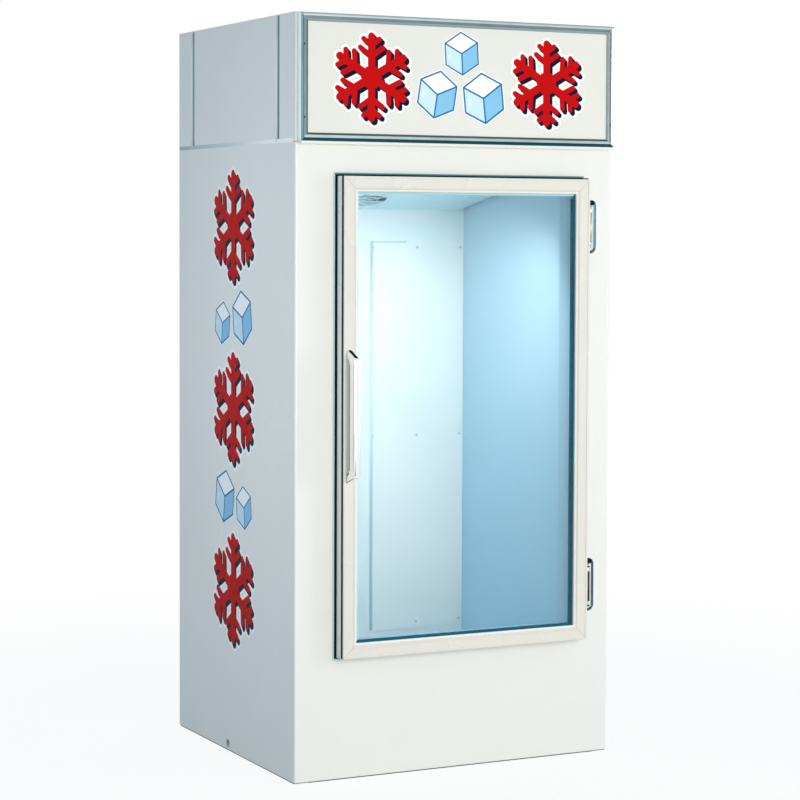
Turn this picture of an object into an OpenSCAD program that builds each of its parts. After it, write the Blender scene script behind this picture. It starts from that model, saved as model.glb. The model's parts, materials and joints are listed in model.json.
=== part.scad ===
// Upright ice merchandiser freezer: an insulated steel cabinet with one hinged glass door, a hood above
// it that holds the condensing unit, and a framed header sign on the hood's front.
// Millimetres. +Z is up, the door faces -Y, and the origin is on the floor below the middle of the whole.

/* [Cabinet] */
// Width over the side skins
cab_w = 914; // [840:1:1100]
// Depth from the front skin to the rear edge
cab_d = 787; // [700:1:900]
// Height from the floor to the top cover
cab_h = 1930; // [1900:1:2050]
// Height of the hood above the insulated body
hood_h = 321; // [305:1:340]
// Thickness of the sheet steel
sheet = 1.2; // [0.8:0.1:1.6]
// Outside bend radius of the front vertical edges
bend_r = 5; // [3:0.5:8]
// Thickness of the side, front, floor and ceiling walls
wall_t = 57; // [50:1:64]
// Thickness of the rear wall
rear_wall_t = 70; // [60:1:85]
// How far the rear sheets sit inside the rear edge
rear_inset = 2.5; // [2:0.5:5]
// Height of the skins' lower edge above the floor
skin_lift = 3; // [2:0.5:4]

/* [Base] */
// Height of the base tubes
base_h = 40; // [34:1:50]
// Width of the base tubes
runner_w = 40; // [30:1:55]
// Wall of the base tubes
runner_wall = 3; // [2:0.5:5]
// Bore of the floor drain
drain_d = 20; // [14:1:24]
// Wall of the drain pipe
drain_wall = 2; // [1.5:0.5:3]
// Distance of the drain behind the front skin
drain_back = 435; // [380:1:480]
// Distance of the drain from the side skin
drain_in = 157; // [110:1:220]

/* [Door] */
// Width of the door
door_w = 711; // [640:1:740]
// Height of the door's lower edge above the floor
door_sill = 314; // [280:1:340]
// Distance of the door's upper edge below the hood
door_head = 84; // [70:1:120]
// Offset of the door's middle to the hinge side
door_off = 11.5; // [0:1:12]
// Distance of the door's front face from the front skin
door_proud = 48; // [44:1:56]
// Width of the door's frame rails
rail_w = 38; // [34:1:46]
// How far the closed door overlaps the opening on each side
seal_lap = 32; // [28:1:34]
// Thickness of the door gasket
gasket_t = 5; // [3:0.5:7]
// Thickness of each glass pane
pane_t = 4; // [3:0.5:5]
// Space between the two panes
pane_gap = 12; // [8:1:14]
// Depth of the glass behind the door's front face
glass_back = 14; // [12:0.5:16]
// How far the panes reach into the frame rails
glass_bite = 7; // [5:0.5:9]
// How far the dark spacer shows inside the rails
spacer_show = 5; // [2:0.5:8]

/* [Trim] */
// Thickness of the dark face trim that the gasket closes on
trim_t = 1.5; // [1:0.25:2.5]
// How far the face trim shows outside the door
trim_show = 8; // [4:0.5:8]
// Thickness of the jamb strips
jamb_t = 2; // [1.5:0.5:4]

/* [Handle] */
// Height of the handle at its feet
handle_h = 335; // [260:1:420]
// Width of the handle
handle_w = 17; // [14:0.5:18.5]
// Distance that the handle stands out from the door's front face
handle_reach = 50; // [44:1:66]
// Finger space behind the grip
finger_gap = 20; // [18:1:28]
// Height of each arm of the handle
handle_arm = 25; // [18:1:35]
// Height of the handle's middle above the door's lower edge
handle_up = 610; // [500:1:720]

/* [Hinges] */
// Height of each hinge
hinge_h = 142; // [125:1:180]
// Width of the hinge plate on the cabinet
hinge_plate_w = 37; // [28:1:42]
// Thickness of the hinge plate
hinge_plate_t = 9; // [6:0.5:10]
// Thickness of the leaf on the door's edge
leaf_t = 3.5; // [2.5:0.5:4.5]
// Radius of the hinge knuckles
knuckle_r = 6.5; // [5.5:0.5:7]
// Radius of the hinge pin
pin_r = 3; // [2:0.25:3.5]
// Distance of the pin from the door's edge
pin_out = 14; // [13:0.5:15]
// Distance of the pin from the front skin
pin_fwd = 22; // [20:0.5:24]
// Distance of the upper hinge's middle below the door's top
hinge_top = 124; // [100:1:200]
// Distance of the lower hinge's middle above the door's lower edge
hinge_bottom = 138; // [100:1:200]

/* [Sign] */
// Width of the sign frame's rails
sign_rail_w = 20; // [18:0.5:26]
// Distance that the sign frame stands out from the front skin
sign_proud = 24; // [20:1:30]
// Gap from the sign frame to the seam under it and the hood's top
sign_margin = 2; // [1:0.5:4]
// Distance of the sign frame's ends from the cabinet's sides
sign_inset = 5; // [1:0.5:8]
// Thickness of the sign panel
sign_panel_t = 3; // [2:0.5:4]
// Depth of the lamp box behind the front skin
lamp_box_d = 62; // [50:1:80]
// Radius of the sign lamp
lamp_r = 13; // [8:0.5:16]
// Length of the sign lamp
lamp_len = 760; // [600:1:800]

/* [Hood] */
// Width of the front posts on the hood's sides
front_post_w = 99; // [80:1:130]
// Width of the rear posts on the hood's sides
rear_post_w = 99; // [60:1:130]
// Width of the grooves between posts and side panels
groove_w = 13; // [8:1:18]
// Depth of the grooves
groove_d = 3; // [2.5:0.5:5]
// Open height of each rear louvre slot
louvre_h = 9; // [6:0.5:12]
// Distance from one louvre slot to the next
louvre_pitch = 20; // [16:1:28]

/* [Condensing unit] */
// Width of the unit's base plate
unit_w = 560; // [520:1:640]
// Height of the unit's base plate over the hood floor
unit_foot = 20; // [15:1:30]
// Radius of the compressor shell
comp_r = 78; // [65:1:85]
// Height of the compressor shell
comp_h = 178; // [150:1:190]
// Width of the condenser coil
cond_w = 290; // [260:1:300]
// Height of the condenser coil
cond_h = 236; // [220:1:250]
// Thickness of the condenser coil
cond_t = 44; // [34:1:55]
// Radius of the condenser fan
cond_fan_r = 104; // [90:1:106]
// Radius of the fan shafts
shaft_r = 4; // [3:0.5:5]

/* [Evaporator] */
// Depth of the evaporator housing, front to rear
evap_d = 232; // [225:1:260]
// Height of the housing's front edge above its rear edge
evap_slope = 45; // [30:1:55]
// Drop of the housing's rear edge below the cavity ceiling
evap_drop = 102; // [98:1:120]
// Radius of the evaporator fan
evap_fan_r = 78; // [60:1:84]
// Length of the cavity lamp
cavity_lamp_len = 600; // [400:1:640]

/* [Controls] */
// Radius of the thermostat knob
knob_r = 16; // [12:0.5:20]
// Depth of the thermostat knob
knob_h = 15; // [10:0.5:18]

/* [Hidden] */
$fn = 48;
seam = 1; // open joint between the hood skins and the body
fit = 0.3; // clearance between neighbouring pieces
run = 0.05; // radial clearance of turning fits
overcut = 1; // how far a cut runs past the face that it opens
band_in = 1.5; // depth of the flat band in the door rails
lip_w = 6; // width of the outer lip of the door rails
total_d = cab_d + door_proud + handle_reach - band_in;
fy = -total_d / 2 + total_d - cab_d; // the front skin's outer face
ry = fy + cab_d; // the cabinet's rear edge
hx = cab_w / 2;
body_h = cab_h - hood_h; // height of the insulated body, where the hood starts
door_h = body_h - door_head - door_sill;
rear_face = ry - rear_inset; // outer face of the rear sheets
foam_rear_y = rear_face - 2 * sheet;
cav_x = hx - wall_t;
cav_y0 = fy + wall_t;
cav_y1 = ry - rear_wall_t;
floor_z = base_h + wall_t;
ceil_z = body_h - wall_t;
door_x0 = door_off - door_w / 2;
door_x1 = door_off + door_w / 2;
door_z0 = door_sill;
door_z1 = door_sill + door_h;
door_y = fy - door_proud; // the door's front face
door_t = door_proud - trim_t - fit - gasket_t;
open_x0 = door_x0 + seal_lap;
open_x1 = door_x1 - seal_lap;
open_z0 = door_z0 + seal_lap;
open_z1 = door_z1 - seal_lap;
edge_groove = [5, 17]; // the dark insert's groove in the door's edge, from the front
edge_groove_d = 3;
insert_proud = 3; // how far the insert's upper strip stands above the door
trim_corner_r = 6;
glass_t = 2 * pane_t + pane_gap;
rebate = rail_w - glass_bite;
handle_x = door_x0 + lip_w + fit;
pin_x = door_x1 + pin_out;
pin_y = fy - pin_fwd;
plate_x = door_x1 + trim_show + fit;
hinge_zs = [door_z1 - hinge_top, door_z0 + hinge_bottom];
knuckle_end = 20; // length of each knuckle on the cabinet side
knuckle_mid = 44; // length of the knuckle on the door side
knuckle_gap = 0.4;
plate_screw_z = 50; // height of the plate screws above and below the hinge's middle
leaf_screw_z = 36;
pin_head_h = 2;
sign_x = hx - sign_inset;
sign_z0 = body_h + sign_margin;
sign_z1 = cab_h - sign_margin - sheet;
sign_y = fy - sign_proud;
sign_face = 7.2; // depth of the sign panel behind the frame's front
sign_slot = 12.3; // where the panel slot starts, in from the frame's outer edge
box_wall = 1;
post_x = sign_slot - 1; // width of the front posts' turned edge
hood_z0 = body_h + seam;
hood_z1 = cab_h - sheet;
panel_y0 = fy + front_post_w + groove_w;
panel_y1 = ry - rear_post_w - groove_w;
hem = 6;
unit_z = body_h + unit_foot;
plate_t = 2;
cond_x = -110; // middle of the condenser
cond_y = ry - 118; // front face of the condenser
cond_z = unit_z + cond_h / 2 + 8;
shroud_t = 1.5;
shroud_d = 34;
comp_x = 160;
comp_y = fy + 430; // middle of the compressor
comp_foot = 14; // height of the grommets
fan_z = cond_z;
cond_fan_y = cond_y - shroud_d + 4;
evap_y0 = cav_y1 - evap_d;
evap_x = cav_x - 12;
evap_t = 1.5;
evap_tilt = atan(evap_slope / evap_d);
evap_pan_z = ceil_z - evap_drop; // rear lower edge of the pan
evap_mid = [0, (evap_y0 + cav_y1) / 2, evap_pan_z + evap_slope / 2];
line_x = -evap_x + 17; // where the refrigerant lines pass through the ceiling, beside the coil
line_y = evap_y0 + 60;
line_r = 12; // radius of the insulated line
ctl_in = 139; // distance of the controls from the side skin
ctl_x = hx - ctl_in;
ctl_z = body_h + 110;
ctl_y = rear_face - sheet - 34; // the control box's face
ctl_w = 110;
ctl_h = 150;
knob_z = ctl_z + 34;
switch_z = ctl_z - 36;
bushing_x = ctl_x;
bushing_z = body_h + 250;
bushing_r = 8;
rear_panel_x0 = 98; // the cavity rear cover panel's edge
rear_panel_z = [floor_z + 138, ceil_z - 191];

// ---- helpers ----

// A block between two opposite corners
module slab(lo, hi) {
    translate(lo) cube(hi - lo);
}

// The plan inside the wrapper: a rectangle whose front corners clear the wrapper's bends
module inner_plan(y0, y1) {
    x = hx - sheet;
    c = bend_r;
    polygon([[-x + c, y0], [x - c, y0], [x, y0 + c], [x, y1], [-x, y1], [-x, y0 + c]]);
}

// A flat ring in the XZ plane, drawn from its outer and inner rectangles
module ring_xz(ox0, ox1, oz0, oz1, w, y0, y1) {
    difference() {
        slab([ox0, y0, oz0], [ox1, y1, oz1]);
        slab([ox0 + w, y0 - overcut, oz0 + w], [ox1 - w, y1 + overcut, oz1 - w]);
    }
}

// One side of a mitred frame in the XZ plane, from y = 0 back to deep. The section comes from children():
// its x is the depth behind the front and its y the distance in from the frame's outer edge.
module mitred_side(side, x0, x1, z0, z1, w, deep) {
    m = overcut;
    outline = side == "bottom" ? [[x0 - m, z0 - m], [x1 + m, z0 - m], [x1 - w - m, z0 + w + m],
                                  [x0 + w + m, z0 + w + m]]
        : side == "top" ? [[x0 - m, z1 + m], [x1 + m, z1 + m], [x1 - w - m, z1 - w - m],
                           [x0 + w + m, z1 - w - m]]
        : side == "left" ? [[x0 - m, z0 - m], [x0 + w + m, z0 + w + m], [x0 + w + m, z1 - w - m],
                            [x0 - m, z1 + m]]
        : [[x1 + m, z0 - m], [x1 - w - m, z0 + w + m], [x1 - w - m, z1 - w - m], [x1 + m, z1 + m]];
    intersection() {
        union() {
            if (side == "bottom")
                translate([x0, 0, z0]) rotate([90, 0, 90]) linear_extrude(x1 - x0) children();
            if (side == "top")
                translate([x0, 0, z1]) mirror([0, 0, 1]) rotate([90, 0, 90])
                    linear_extrude(x1 - x0) children();
            if (side == "left")
                translate([x0, 0, z0]) mirror([1, -1, 0]) linear_extrude(z1 - z0) children();
            if (side == "right")
                translate([x1, 0, z0]) mirror([1, 0, 0]) mirror([1, -1, 0])
                    linear_extrude(z1 - z0) children();
        }
        translate([0, deep + m, 0]) rotate([90, 0, 0]) linear_extrude(deep + 2 * m) polygon(outline);
    }
}

// A round bar between two points
module bar(a, b, r) {
    d = b - a;
    len = norm(d);
    translate(a) rotate([0, acos(d.z / len), atan2(d.y, d.x)]) cylinder(r = r, h = len);
}

// A pipe along a list of points, with ball elbows
module pipe(points, r) {
    for (i = [0:len(points) - 2]) bar(points[i], points[i + 1], r);
    for (i = [1:1:len(points) - 2]) translate(points[i]) sphere(r = 1.06 * r);
}

// A pan-head screw whose head stands towards -Y on a face at the origin
module pan_screw(r, head, shank_r, shank) {
    rotate([90, 0, 0]) cylinder(r1 = r, r2 = r * 0.8, h = head);
    rotate([-90, 0, 0]) cylinder(r = shank_r, h = shank);
}

// An axial fan wheel: blades round a hub, spinning about +Z, with its lower face at z = 0
module fan_wheel(r, hub_r, blades, pitch, thick, hub_h) {
    cylinder(r = hub_r, h = hub_h);
    intersection() {
        union() {
            for (i = [0:blades - 1])
                rotate([0, 0, i * 360 / blades]) translate([0, 0, hub_h / 2])
                    rotate([pitch, 0, 0]) linear_extrude(thick, center = true)
                        polygon(r * [[0.15, -0.13], [0.7, -0.34], [1.05, -0.40], [1.05, 0.30], [0.15, 0.13]]);
        }
        difference() {
            translate([0, 0, -hub_h]) cylinder(r = r, h = 3 * hub_h);
            translate([0, 0, -2 * hub_h]) cylinder(r = hub_r - 1, h = 5 * hub_h);
        }
    }
}

// A finned coil block: upright fins along X between two end plates, joined by tubes along X
module finned_block(w, d, h, fins, tubes) {
    fin_t = 0.8;
    tube_r = 4.5;
    for (i = [0:fins - 1]) translate([i * (w - fin_t) / (fins - 1), 0, 0]) cube([fin_t, d, h]);
    for (i = [0:tubes - 1])
        translate([-6, d / 2, h * (i + 0.5) / tubes]) rotate([0, 90, 0]) cylinder(r = tube_r, h = w + 12);
}

// ---- base and cabinet ----

// A square tube along Y, seated against the side skin
module base_runner(x0) {
    difference() {
        slab([x0, fy + bend_r, 0], [x0 + runner_w, foam_rear_y, base_h]);
        slab([x0 + runner_wall, fy, runner_wall], [x0 + runner_w - runner_wall, ry, base_h - runner_wall]);
        translate([0, fy + drain_back, drain_axis_z]) rotate([0, 90, 0])
            cylinder(r = drain_d / 2 + drain_wall + fit, h = 4 * hx, center = true);
    }
}
drain_axis_z = base_h / 2 - 1; // height of the drain pipe below the base pan
drain_x = hx - drain_in;

module base_runners() {
    color([0.35, 0.37, 0.39]) {
        base_runner(-hx + sheet);
        mirror([1, 0, 0]) base_runner(-hx + sheet);
    }
}

module base_crossmembers() {
    x = hx - sheet - runner_w;
    color([0.35, 0.37, 0.39])
        for (y = [fy + sheet, foam_rear_y - runner_w])
            difference() {
                slab([-x, y, 0], [x, y + runner_w, base_h]);
                slab([-x - overcut, y + runner_wall, runner_wall],
                     [x + overcut, y + runner_w - runner_wall, base_h - runner_wall]);
            }
}

module base_pan() {
    color([0.62, 0.65, 0.67])
        difference() {
            translate([0, 0, base_h]) linear_extrude(sheet) inner_plan(fy + sheet, foam_rear_y);
            drain_bore();
        }
}

// The way of the floor drain down through liner, foam and base pan
module drain_bore() {
    translate([-drain_x, fy + drain_back, base_h - overcut])
        cylinder(r = drain_d / 2 + drain_wall + fit, h = wall_t + 2 * overcut);
}

module outer_wrapper() {
    x = hx - sheet;
    r = bend_r;
    color([0.93, 0.95, 0.94])
        difference() {
            translate([0, 0, skin_lift]) linear_extrude(body_h - skin_lift) difference() {
                wrapper_outline(hx, fy, r);
                wrapper_outline(x, fy + sheet, r - sheet);
            }
            slab([-x + 18, foam_rear_y - 4, -1], [x - 18, ry + 2, cab_h]);
            slab([open_x0 - jamb_t, fy - 2, open_z0 - jamb_t], [open_x1 + jamb_t, fy + 9, open_z1 + jamb_t]);
            translate([-hx, fy + drain_back, drain_axis_z]) rotate([0, 90, 0])
                cylinder(r = drain_d / 2 + drain_wall + fit, h = 40, center = true);
        }
    color([0.93, 0.95, 0.94])
        for (s = [-1, 1]) slab([s > 0 ? x - 18 : -x, foam_rear_y, skin_lift],
                               [s > 0 ? x : -x + 18, foam_rear_y + sheet, body_h]);
}

// A plan open to the rear edge, with rounded front corners
module wrapper_outline(x, y0, r) {
    translate([-x, y0 + r]) square([2 * x, ry - y0 - r + (x < hx ? overcut : 0)]);
    translate([-x + r, y0]) square([2 * x - 2 * r, r + overcut]);
    for (s = [-1, 1]) translate([s * (x - r), y0 + r]) circle(r = r);
}

module back_panel() {
    color([0.70, 0.73, 0.75])
        slab([-hx + sheet + fit, rear_face - sheet, skin_lift], [hx - sheet - fit, rear_face, body_h - fit]);
}

module foam_sides() {
    color([0.93, 0.88, 0.68])
        for (s = [0, 1]) mirror([s, 0, 0])
            slab([cav_x + sheet, cav_y0 - sheet, base_h + sheet],
                 [hx - sheet, cav_y1 + sheet, body_h - sheet]);
}

module foam_rear() {
    color([0.93, 0.88, 0.68])
        slab([-hx + sheet, cav_y1 + sheet, base_h + sheet], [hx - sheet, foam_rear_y, body_h - sheet]);
}

module foam_floor() {
    color([0.93, 0.88, 0.68])
        difference() {
            slab([-cav_x - sheet, cav_y0 - sheet, base_h + sheet],
                 [cav_x + sheet, cav_y1 + sheet, floor_z - sheet]);
            drain_bore();
        }
}

module foam_ceiling() {
    color([0.93, 0.88, 0.68])
        difference() {
            slab([-cav_x - sheet, cav_y0 - sheet, ceil_z + sheet],
                 [cav_x + sheet, cav_y1 + sheet, body_h - sheet]);
            line_bore();
        }
}

// The way of the refrigerant lines down through deck, foam and liner
module line_bore() {
    translate([line_x, line_y, ceil_z - overcut]) cylinder(r = line_r + fit, h = wall_t + 2 * overcut);
}

// The front wall's foam: four blocks round the opening
module foam_front() {
    a = [open_x0 - jamb_t, open_x1 + jamb_t];
    b = [open_z0 - jamb_t, open_z1 + jamb_t];
    color([0.93, 0.88, 0.68])
        for (s = [[-hx, hx, 0, b[0]], [-hx, hx, b[1], cab_h], [-hx, a[0], b[0], b[1]], [a[1], hx, b[0], b[1]]])
            intersection() {
                translate([0, 0, base_h + sheet]) linear_extrude(body_h - base_h - 2 * sheet)
                    inner_plan(fy + sheet, cav_y0 - sheet);
                slab([s[0], fy - 1, s[2]], [s[1], cav_y0 + 1, s[3]]);
            }
}

// The cavity's lining: a closed box with the door opening and two bores
module liner() {
    color([0.90, 0.93, 0.94])
        difference() {
            slab([-cav_x - sheet, cav_y0 - sheet, floor_z - sheet], [cav_x + sheet, cav_y1 + sheet, ceil_z + sheet]);
            slab([-cav_x, cav_y0, floor_z], [cav_x, cav_y1, ceil_z]);
            slab([open_x0 - jamb_t, cav_y0 - 9, open_z0 - jamb_t], [open_x1 + jamb_t, cav_y0 + 9, open_z1 + jamb_t]);
            drain_bore();
            line_bore();
        }
}

module jamb_strips() {
    x0 = open_x0 - jamb_t;
    x1 = open_x1 + jamb_t;
    z0 = open_z0 - jamb_t;
    z1 = open_z1 + jamb_t;
    color([0.80, 0.85, 0.88]) {
        slab([x0, fy, z0], [x1, cav_y0, z0 + jamb_t]);
        slab([x0, fy, z1 - jamb_t], [x1, cav_y0, z1]);
        slab([x0, fy, z0 + jamb_t], [x0 + jamb_t, cav_y0, z1 - jamb_t]);
        slab([x1 - jamb_t, fy, z0 + jamb_t], [x1, cav_y0, z1 - jamb_t]);
    }
}

// The dark flat trim round the opening, four mitred strips
module face_trim() {
    color([0.06, 0.08, 0.09])
        translate([0, fy, 0]) rotate([90, 0, 0]) linear_extrude(trim_t)
            difference() {
                hull()
                    for (x = [door_x0 - trim_show + trim_corner_r, door_x1 + trim_show - trim_corner_r],
                         z = [door_z0 - trim_show + trim_corner_r, door_z1 + trim_show - trim_corner_r])
                        translate([x, z]) circle(r = trim_corner_r);
                translate([open_x0, open_z0]) square([open_x1 - open_x0, open_z1 - open_z0]);
            }
}

module liner_rear_panel() {
    color([0.92, 0.95, 0.96])
        difference() {
            slab([rear_panel_x0, cav_y1 - 1.5, rear_panel_z[0]], [cav_x - 2, cav_y1, rear_panel_z[1]]);
            for (p = liner_screw_spots)
                translate([p.x, cav_y1 - 3, p.y]) rotate([-90, 0, 0]) cylinder(r = 2 + run, h = 6);
        }
}
liner_screw_spots = [
    for (z = [rear_panel_z[0] + 20, (rear_panel_z[0] + rear_panel_z[1]) / 2, rear_panel_z[1] - 20])
        for (x = [rear_panel_x0 + 8, (rear_panel_x0 + cav_x) / 2 - 1, cav_x - 12]) [x, z]
];

module liner_screws() {
    color([0.72, 0.74, 0.75])
        for (p = liner_screw_spots) translate([p.x, cav_y1 - 1.5, p.y]) pan_screw(4, 2, 2, 1.5);
}

module floor_drain() {
    r = drain_d / 2;
    color([0.85, 0.86, 0.87])
        translate([-drain_x, fy + drain_back, 0]) difference() {
            union() {
                translate([0, 0, base_h - fit]) cylinder(r = r + drain_wall, h = wall_t + fit + 1);
                translate([0, 0, floor_z]) cylinder(r = r + 14, h = 2);
            }
            translate([0, 0, base_h - 2]) cylinder(r = r, h = wall_t + 2 + 0.5);
            for (a = [0:45:315]) rotate([0, 0, a]) translate([r * 0.6, 0, floor_z - 3]) cylinder(r = 2.2, h = 9);
        }
}

module drain_pipe() {
    r = drain_d / 2;
    y = fy + drain_back;
    color([0.82, 0.83, 0.84])
        difference() {
            union() {
                translate([-drain_x, y, drain_axis_z]) cylinder(r = r + drain_wall - 0.01, h = base_h - fit - drain_axis_z);
                translate([-drain_x, y, drain_axis_z]) sphere(r = r + drain_wall);
                translate([-hx + fit, y, drain_axis_z]) rotate([0, 90, 0]) cylinder(r = r + drain_wall, h = hx - drain_x - fit);
            }
            translate([-drain_x, y, drain_axis_z]) cylinder(r = r, h = base_h);
            translate([-drain_x, y, drain_axis_z]) sphere(r = r);
            translate([-hx - 5, y, drain_axis_z]) rotate([0, 90, 0]) cylinder(r = r, h = hx - drain_x + 5);
        }
}

// ---- hood ----

module deck_panel() {
    color([0.62, 0.65, 0.67])
        difference() {
            translate([0, 0, body_h - sheet]) linear_extrude(sheet) inner_plan(fy + sheet, foam_rear_y);
            line_bore();
        }
}

// A front post: turned edge behind the sign, outer face, step and flange behind the side panel's edge
module hood_front_post() {
    e = fy + front_post_w;
    slab([-hx, fy, hood_z0], [-hx + sheet, e, hood_z1]);
    slab([-hx, fy, hood_z0], [-hx + post_x, fy + sheet, hood_z1]);
    slab([-hx, e - sheet, hood_z0], [-hx + groove_d + sheet, e, hood_z1]);
    slab([-hx + groove_d, e - sheet, body_h], [-hx + groove_d + sheet, panel_y0 + 3 * hem, hood_z1]);
}

module hood_rear_post() {
    e = ry - rear_post_w;
    slab([-hx, e, hood_z0], [-hx + sheet, ry, hood_z1]);
    slab([-hx, foam_rear_y, hood_z0], [-hx + 20, foam_rear_y + sheet, hood_z1]);
    slab([-hx, e, hood_z0], [-hx + groove_d + sheet, e + sheet, hood_z1]);
    slab([-hx + groove_d, panel_y1 - 3 * hem, body_h], [-hx + groove_d + sheet, e + sheet, hood_z1]);
}

module hood_front_posts() {
    color([0.88, 0.91, 0.92]) for (s = [0, 1]) mirror([s, 0, 0]) hood_front_post();
}

module hood_rear_posts() {
    color([0.88, 0.91, 0.92]) for (s = [0, 1]) mirror([s, 0, 0]) hood_rear_post();
}

// A side panel: a sheet with hems that seat on the posts' flanges
module hood_side() {
    slab([-hx, panel_y0, hood_z0], [-hx + sheet, panel_y1, hood_z1]);
    for (y = [panel_y0, panel_y1 - hem]) slab([-hx, y, hood_z0], [-hx + groove_d, y + hem, hood_z1]);
}

module hood_side_left() {
    color([0.86, 0.90, 0.92]) hood_side();
}

module hood_side_right() {
    color([0.86, 0.90, 0.92]) mirror([1, 0, 0]) hood_side();
}

module hood_top() {
    color([0.86, 0.89, 0.90]) slab([-hx, fy, cab_h - sheet], [hx, ry, cab_h]);
}

// The hood's rear sheet: louvre slots, a window over the controls and the cord bushing's hole
module rear_grille() {
    rows = floor((hood_z1 - hood_z0 - 70) / louvre_pitch);
    slot_w = 118;
    color([0.82, 0.85, 0.86])
        difference() {
            slab([-hx + sheet + fit, rear_face - sheet, hood_z0], [hx - sheet - fit, rear_face, hood_z1]);
            for (c = [0:3], i = [0:rows])
                translate([-hx + 60 + c * (slot_w + 24), rear_face - 5, hood_z0 + 30 + i * louvre_pitch])
                    cube([slot_w, 10, louvre_h]);
            slab([ctl_x - ctl_w / 2 + 8, rear_face - 5, ctl_z - ctl_h / 2 + 8],
                 [ctl_x + ctl_w / 2 - 8, rear_face + 5, ctl_z + ctl_h / 2 - 8]);
            translate([bushing_x, rear_face - 5, bushing_z]) rotate([-90, 0, 0])
                cylinder(r = bushing_r + 2 + run, h = 10);
        }
}

rear_screw_spots = [
    for (x = [-1, 0, 1])
        for (z = [skin_lift + 25, body_h * 0.35, body_h * 0.7, body_h - 25, hood_z0 + 14, hood_z1 - 14])
            if (x != 0 || z < skin_lift + 30) [x * (hx - sheet - 10), z]
];

module rear_screws() {
    color([0.72, 0.74, 0.75])
        for (p = rear_screw_spots)
            translate([p.x, rear_face, p.y]) rotate([-90, 0, 0]) cylinder(r1 = 4, r2 = 3.2, h = rear_inset - fit);
}

// ---- sign ----

// Section of the sign frame: x = depth, y = distance in from the outer edge
module sign_section() {
    d = sign_proud;
    difference() {
        polygon([
            [1, 0], [0, 1.2], [0, 2.6], [2.2, 2.6], [2.2, 5.6], [0.6, 6], [0.6, sign_rail_w - 5],
            [4.6, sign_rail_w], [sign_face - fit, sign_rail_w], [sign_face - fit, sign_slot],
            [d, sign_slot], [d, 0]
        ]);
        translate([4.5, 2]) square([d - 6.5, sign_slot - 4]);
    }
}

module sign_rail(side) {
    translate([0, sign_y, 0]) mitred_side(side, -sign_x, sign_x, sign_z0, sign_z1, sign_rail_w, sign_proud)
        sign_section();
}

module sign_rail_bored(side) {
    difference() {
        sign_rail(side);
        for (p = sign_screw_spots) translate([p.x, sign_y - 1, p.y]) rotate([-90, 0, 0])
            cylinder(r = 1.6 + run, h = sign_proud + 2);
    }
}
sign_screw_u = 8.5; // distance of the sign screws in from the frame's outer edge
sign_screw_spots = [
    for (s = [-1, 1])
        for (z = [sign_z0 + 58, sign_z1 - 77]) [s * (sign_x - sign_screw_u), z]
];

module sign_rail_top() {
    color([0.66, 0.72, 0.74]) sign_rail("top");
}

module sign_rail_bottom() {
    color([0.66, 0.72, 0.74]) sign_rail("bottom");
}

module sign_rail_left() {
    color([0.66, 0.72, 0.74]) sign_rail_bored("left");
}

module sign_rail_right() {
    color([0.66, 0.72, 0.74]) sign_rail_bored("right");
}

module sign_panel() {
    g = sign_slot + fit;
    y = sign_y + sign_face;
    color([0.93, 0.94, 0.92])
        slab([-sign_x + g, y, sign_z0 + g], [sign_x - g, y + sign_panel_t, sign_z1 - g]);
}

// The lamp box: a pan that opens forwards, seated in the frame behind the panel
module sign_lamp_box() {
    g = sign_slot + fit;
    y0 = sign_y + sign_face + sign_panel_t;
    y1 = fy + lamp_box_d;
    color([0.90, 0.92, 0.93])
        difference() {
            slab([-sign_x + g, y0, sign_z0 + g], [sign_x - g, y1, sign_z1 - g]);
            slab([-sign_x + g + box_wall, y0 - 1, sign_z0 + g + box_wall],
                 [sign_x - g - box_wall, y1 - box_wall, sign_z1 - g - box_wall]);
        }
}

sign_mid_z = (sign_z0 + sign_z1) / 2;
lamp_y = fy + lamp_box_d - box_wall - lamp_r - 12;

module sign_lamp() {
    cap = 12;
    color([0.96, 0.97, 0.98]) translate([-lamp_len / 2, lamp_y, sign_mid_z]) rotate([0, 90, 0]) {
        translate([0, 0, cap]) cylinder(r = lamp_r, h = lamp_len - 2 * cap);
        cylinder(r = lamp_r * 0.94, h = cap);
        translate([0, 0, lamp_len - cap]) cylinder(r = lamp_r * 0.94, h = cap);
    }
}

module sign_lamp_holders() {
    t = 9;
    y1 = fy + lamp_box_d - box_wall;
    color([0.92, 0.92, 0.90])
        for (s = [-1, 1]) {
            x = s > 0 ? lamp_len / 2 : -lamp_len / 2 - t;
            slab([x, lamp_y - lamp_r, sign_mid_z - lamp_r], [x + t, y1, sign_mid_z + lamp_r]);
        }
}

module sign_screws() {
    color([0.60, 0.64, 0.66])
        for (p = sign_screw_spots) translate([p.x, sign_y + 0.6, p.y]) pan_screw(3.4, 0.6 - run, 1.6, sign_proud - 2);
}

// ---- condensing unit ----

module unit_base() {
    y0 = fy + 200;
    y1 = cond_y + cond_t + 6;
    color([0.30, 0.32, 0.34])
        difference() {
            union() {
                slab([-unit_w / 2, y0, unit_z - plate_t], [unit_w / 2, y1, unit_z]);
                for (x = [-unit_w / 2, unit_w / 2 - plate_t]) slab([x, y0, body_h], [x + plate_t, y1, unit_z]);
            }
            for (p = comp_feet) translate([p.x, p.y, unit_z - 5]) cylinder(r = 5 + run, h = 10);
        }
}

comp_feet = [for (sx = [-1, 1]) for (sy = [-1, 1]) [comp_x + sx * 82, comp_y + sy * 62]];

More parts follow.
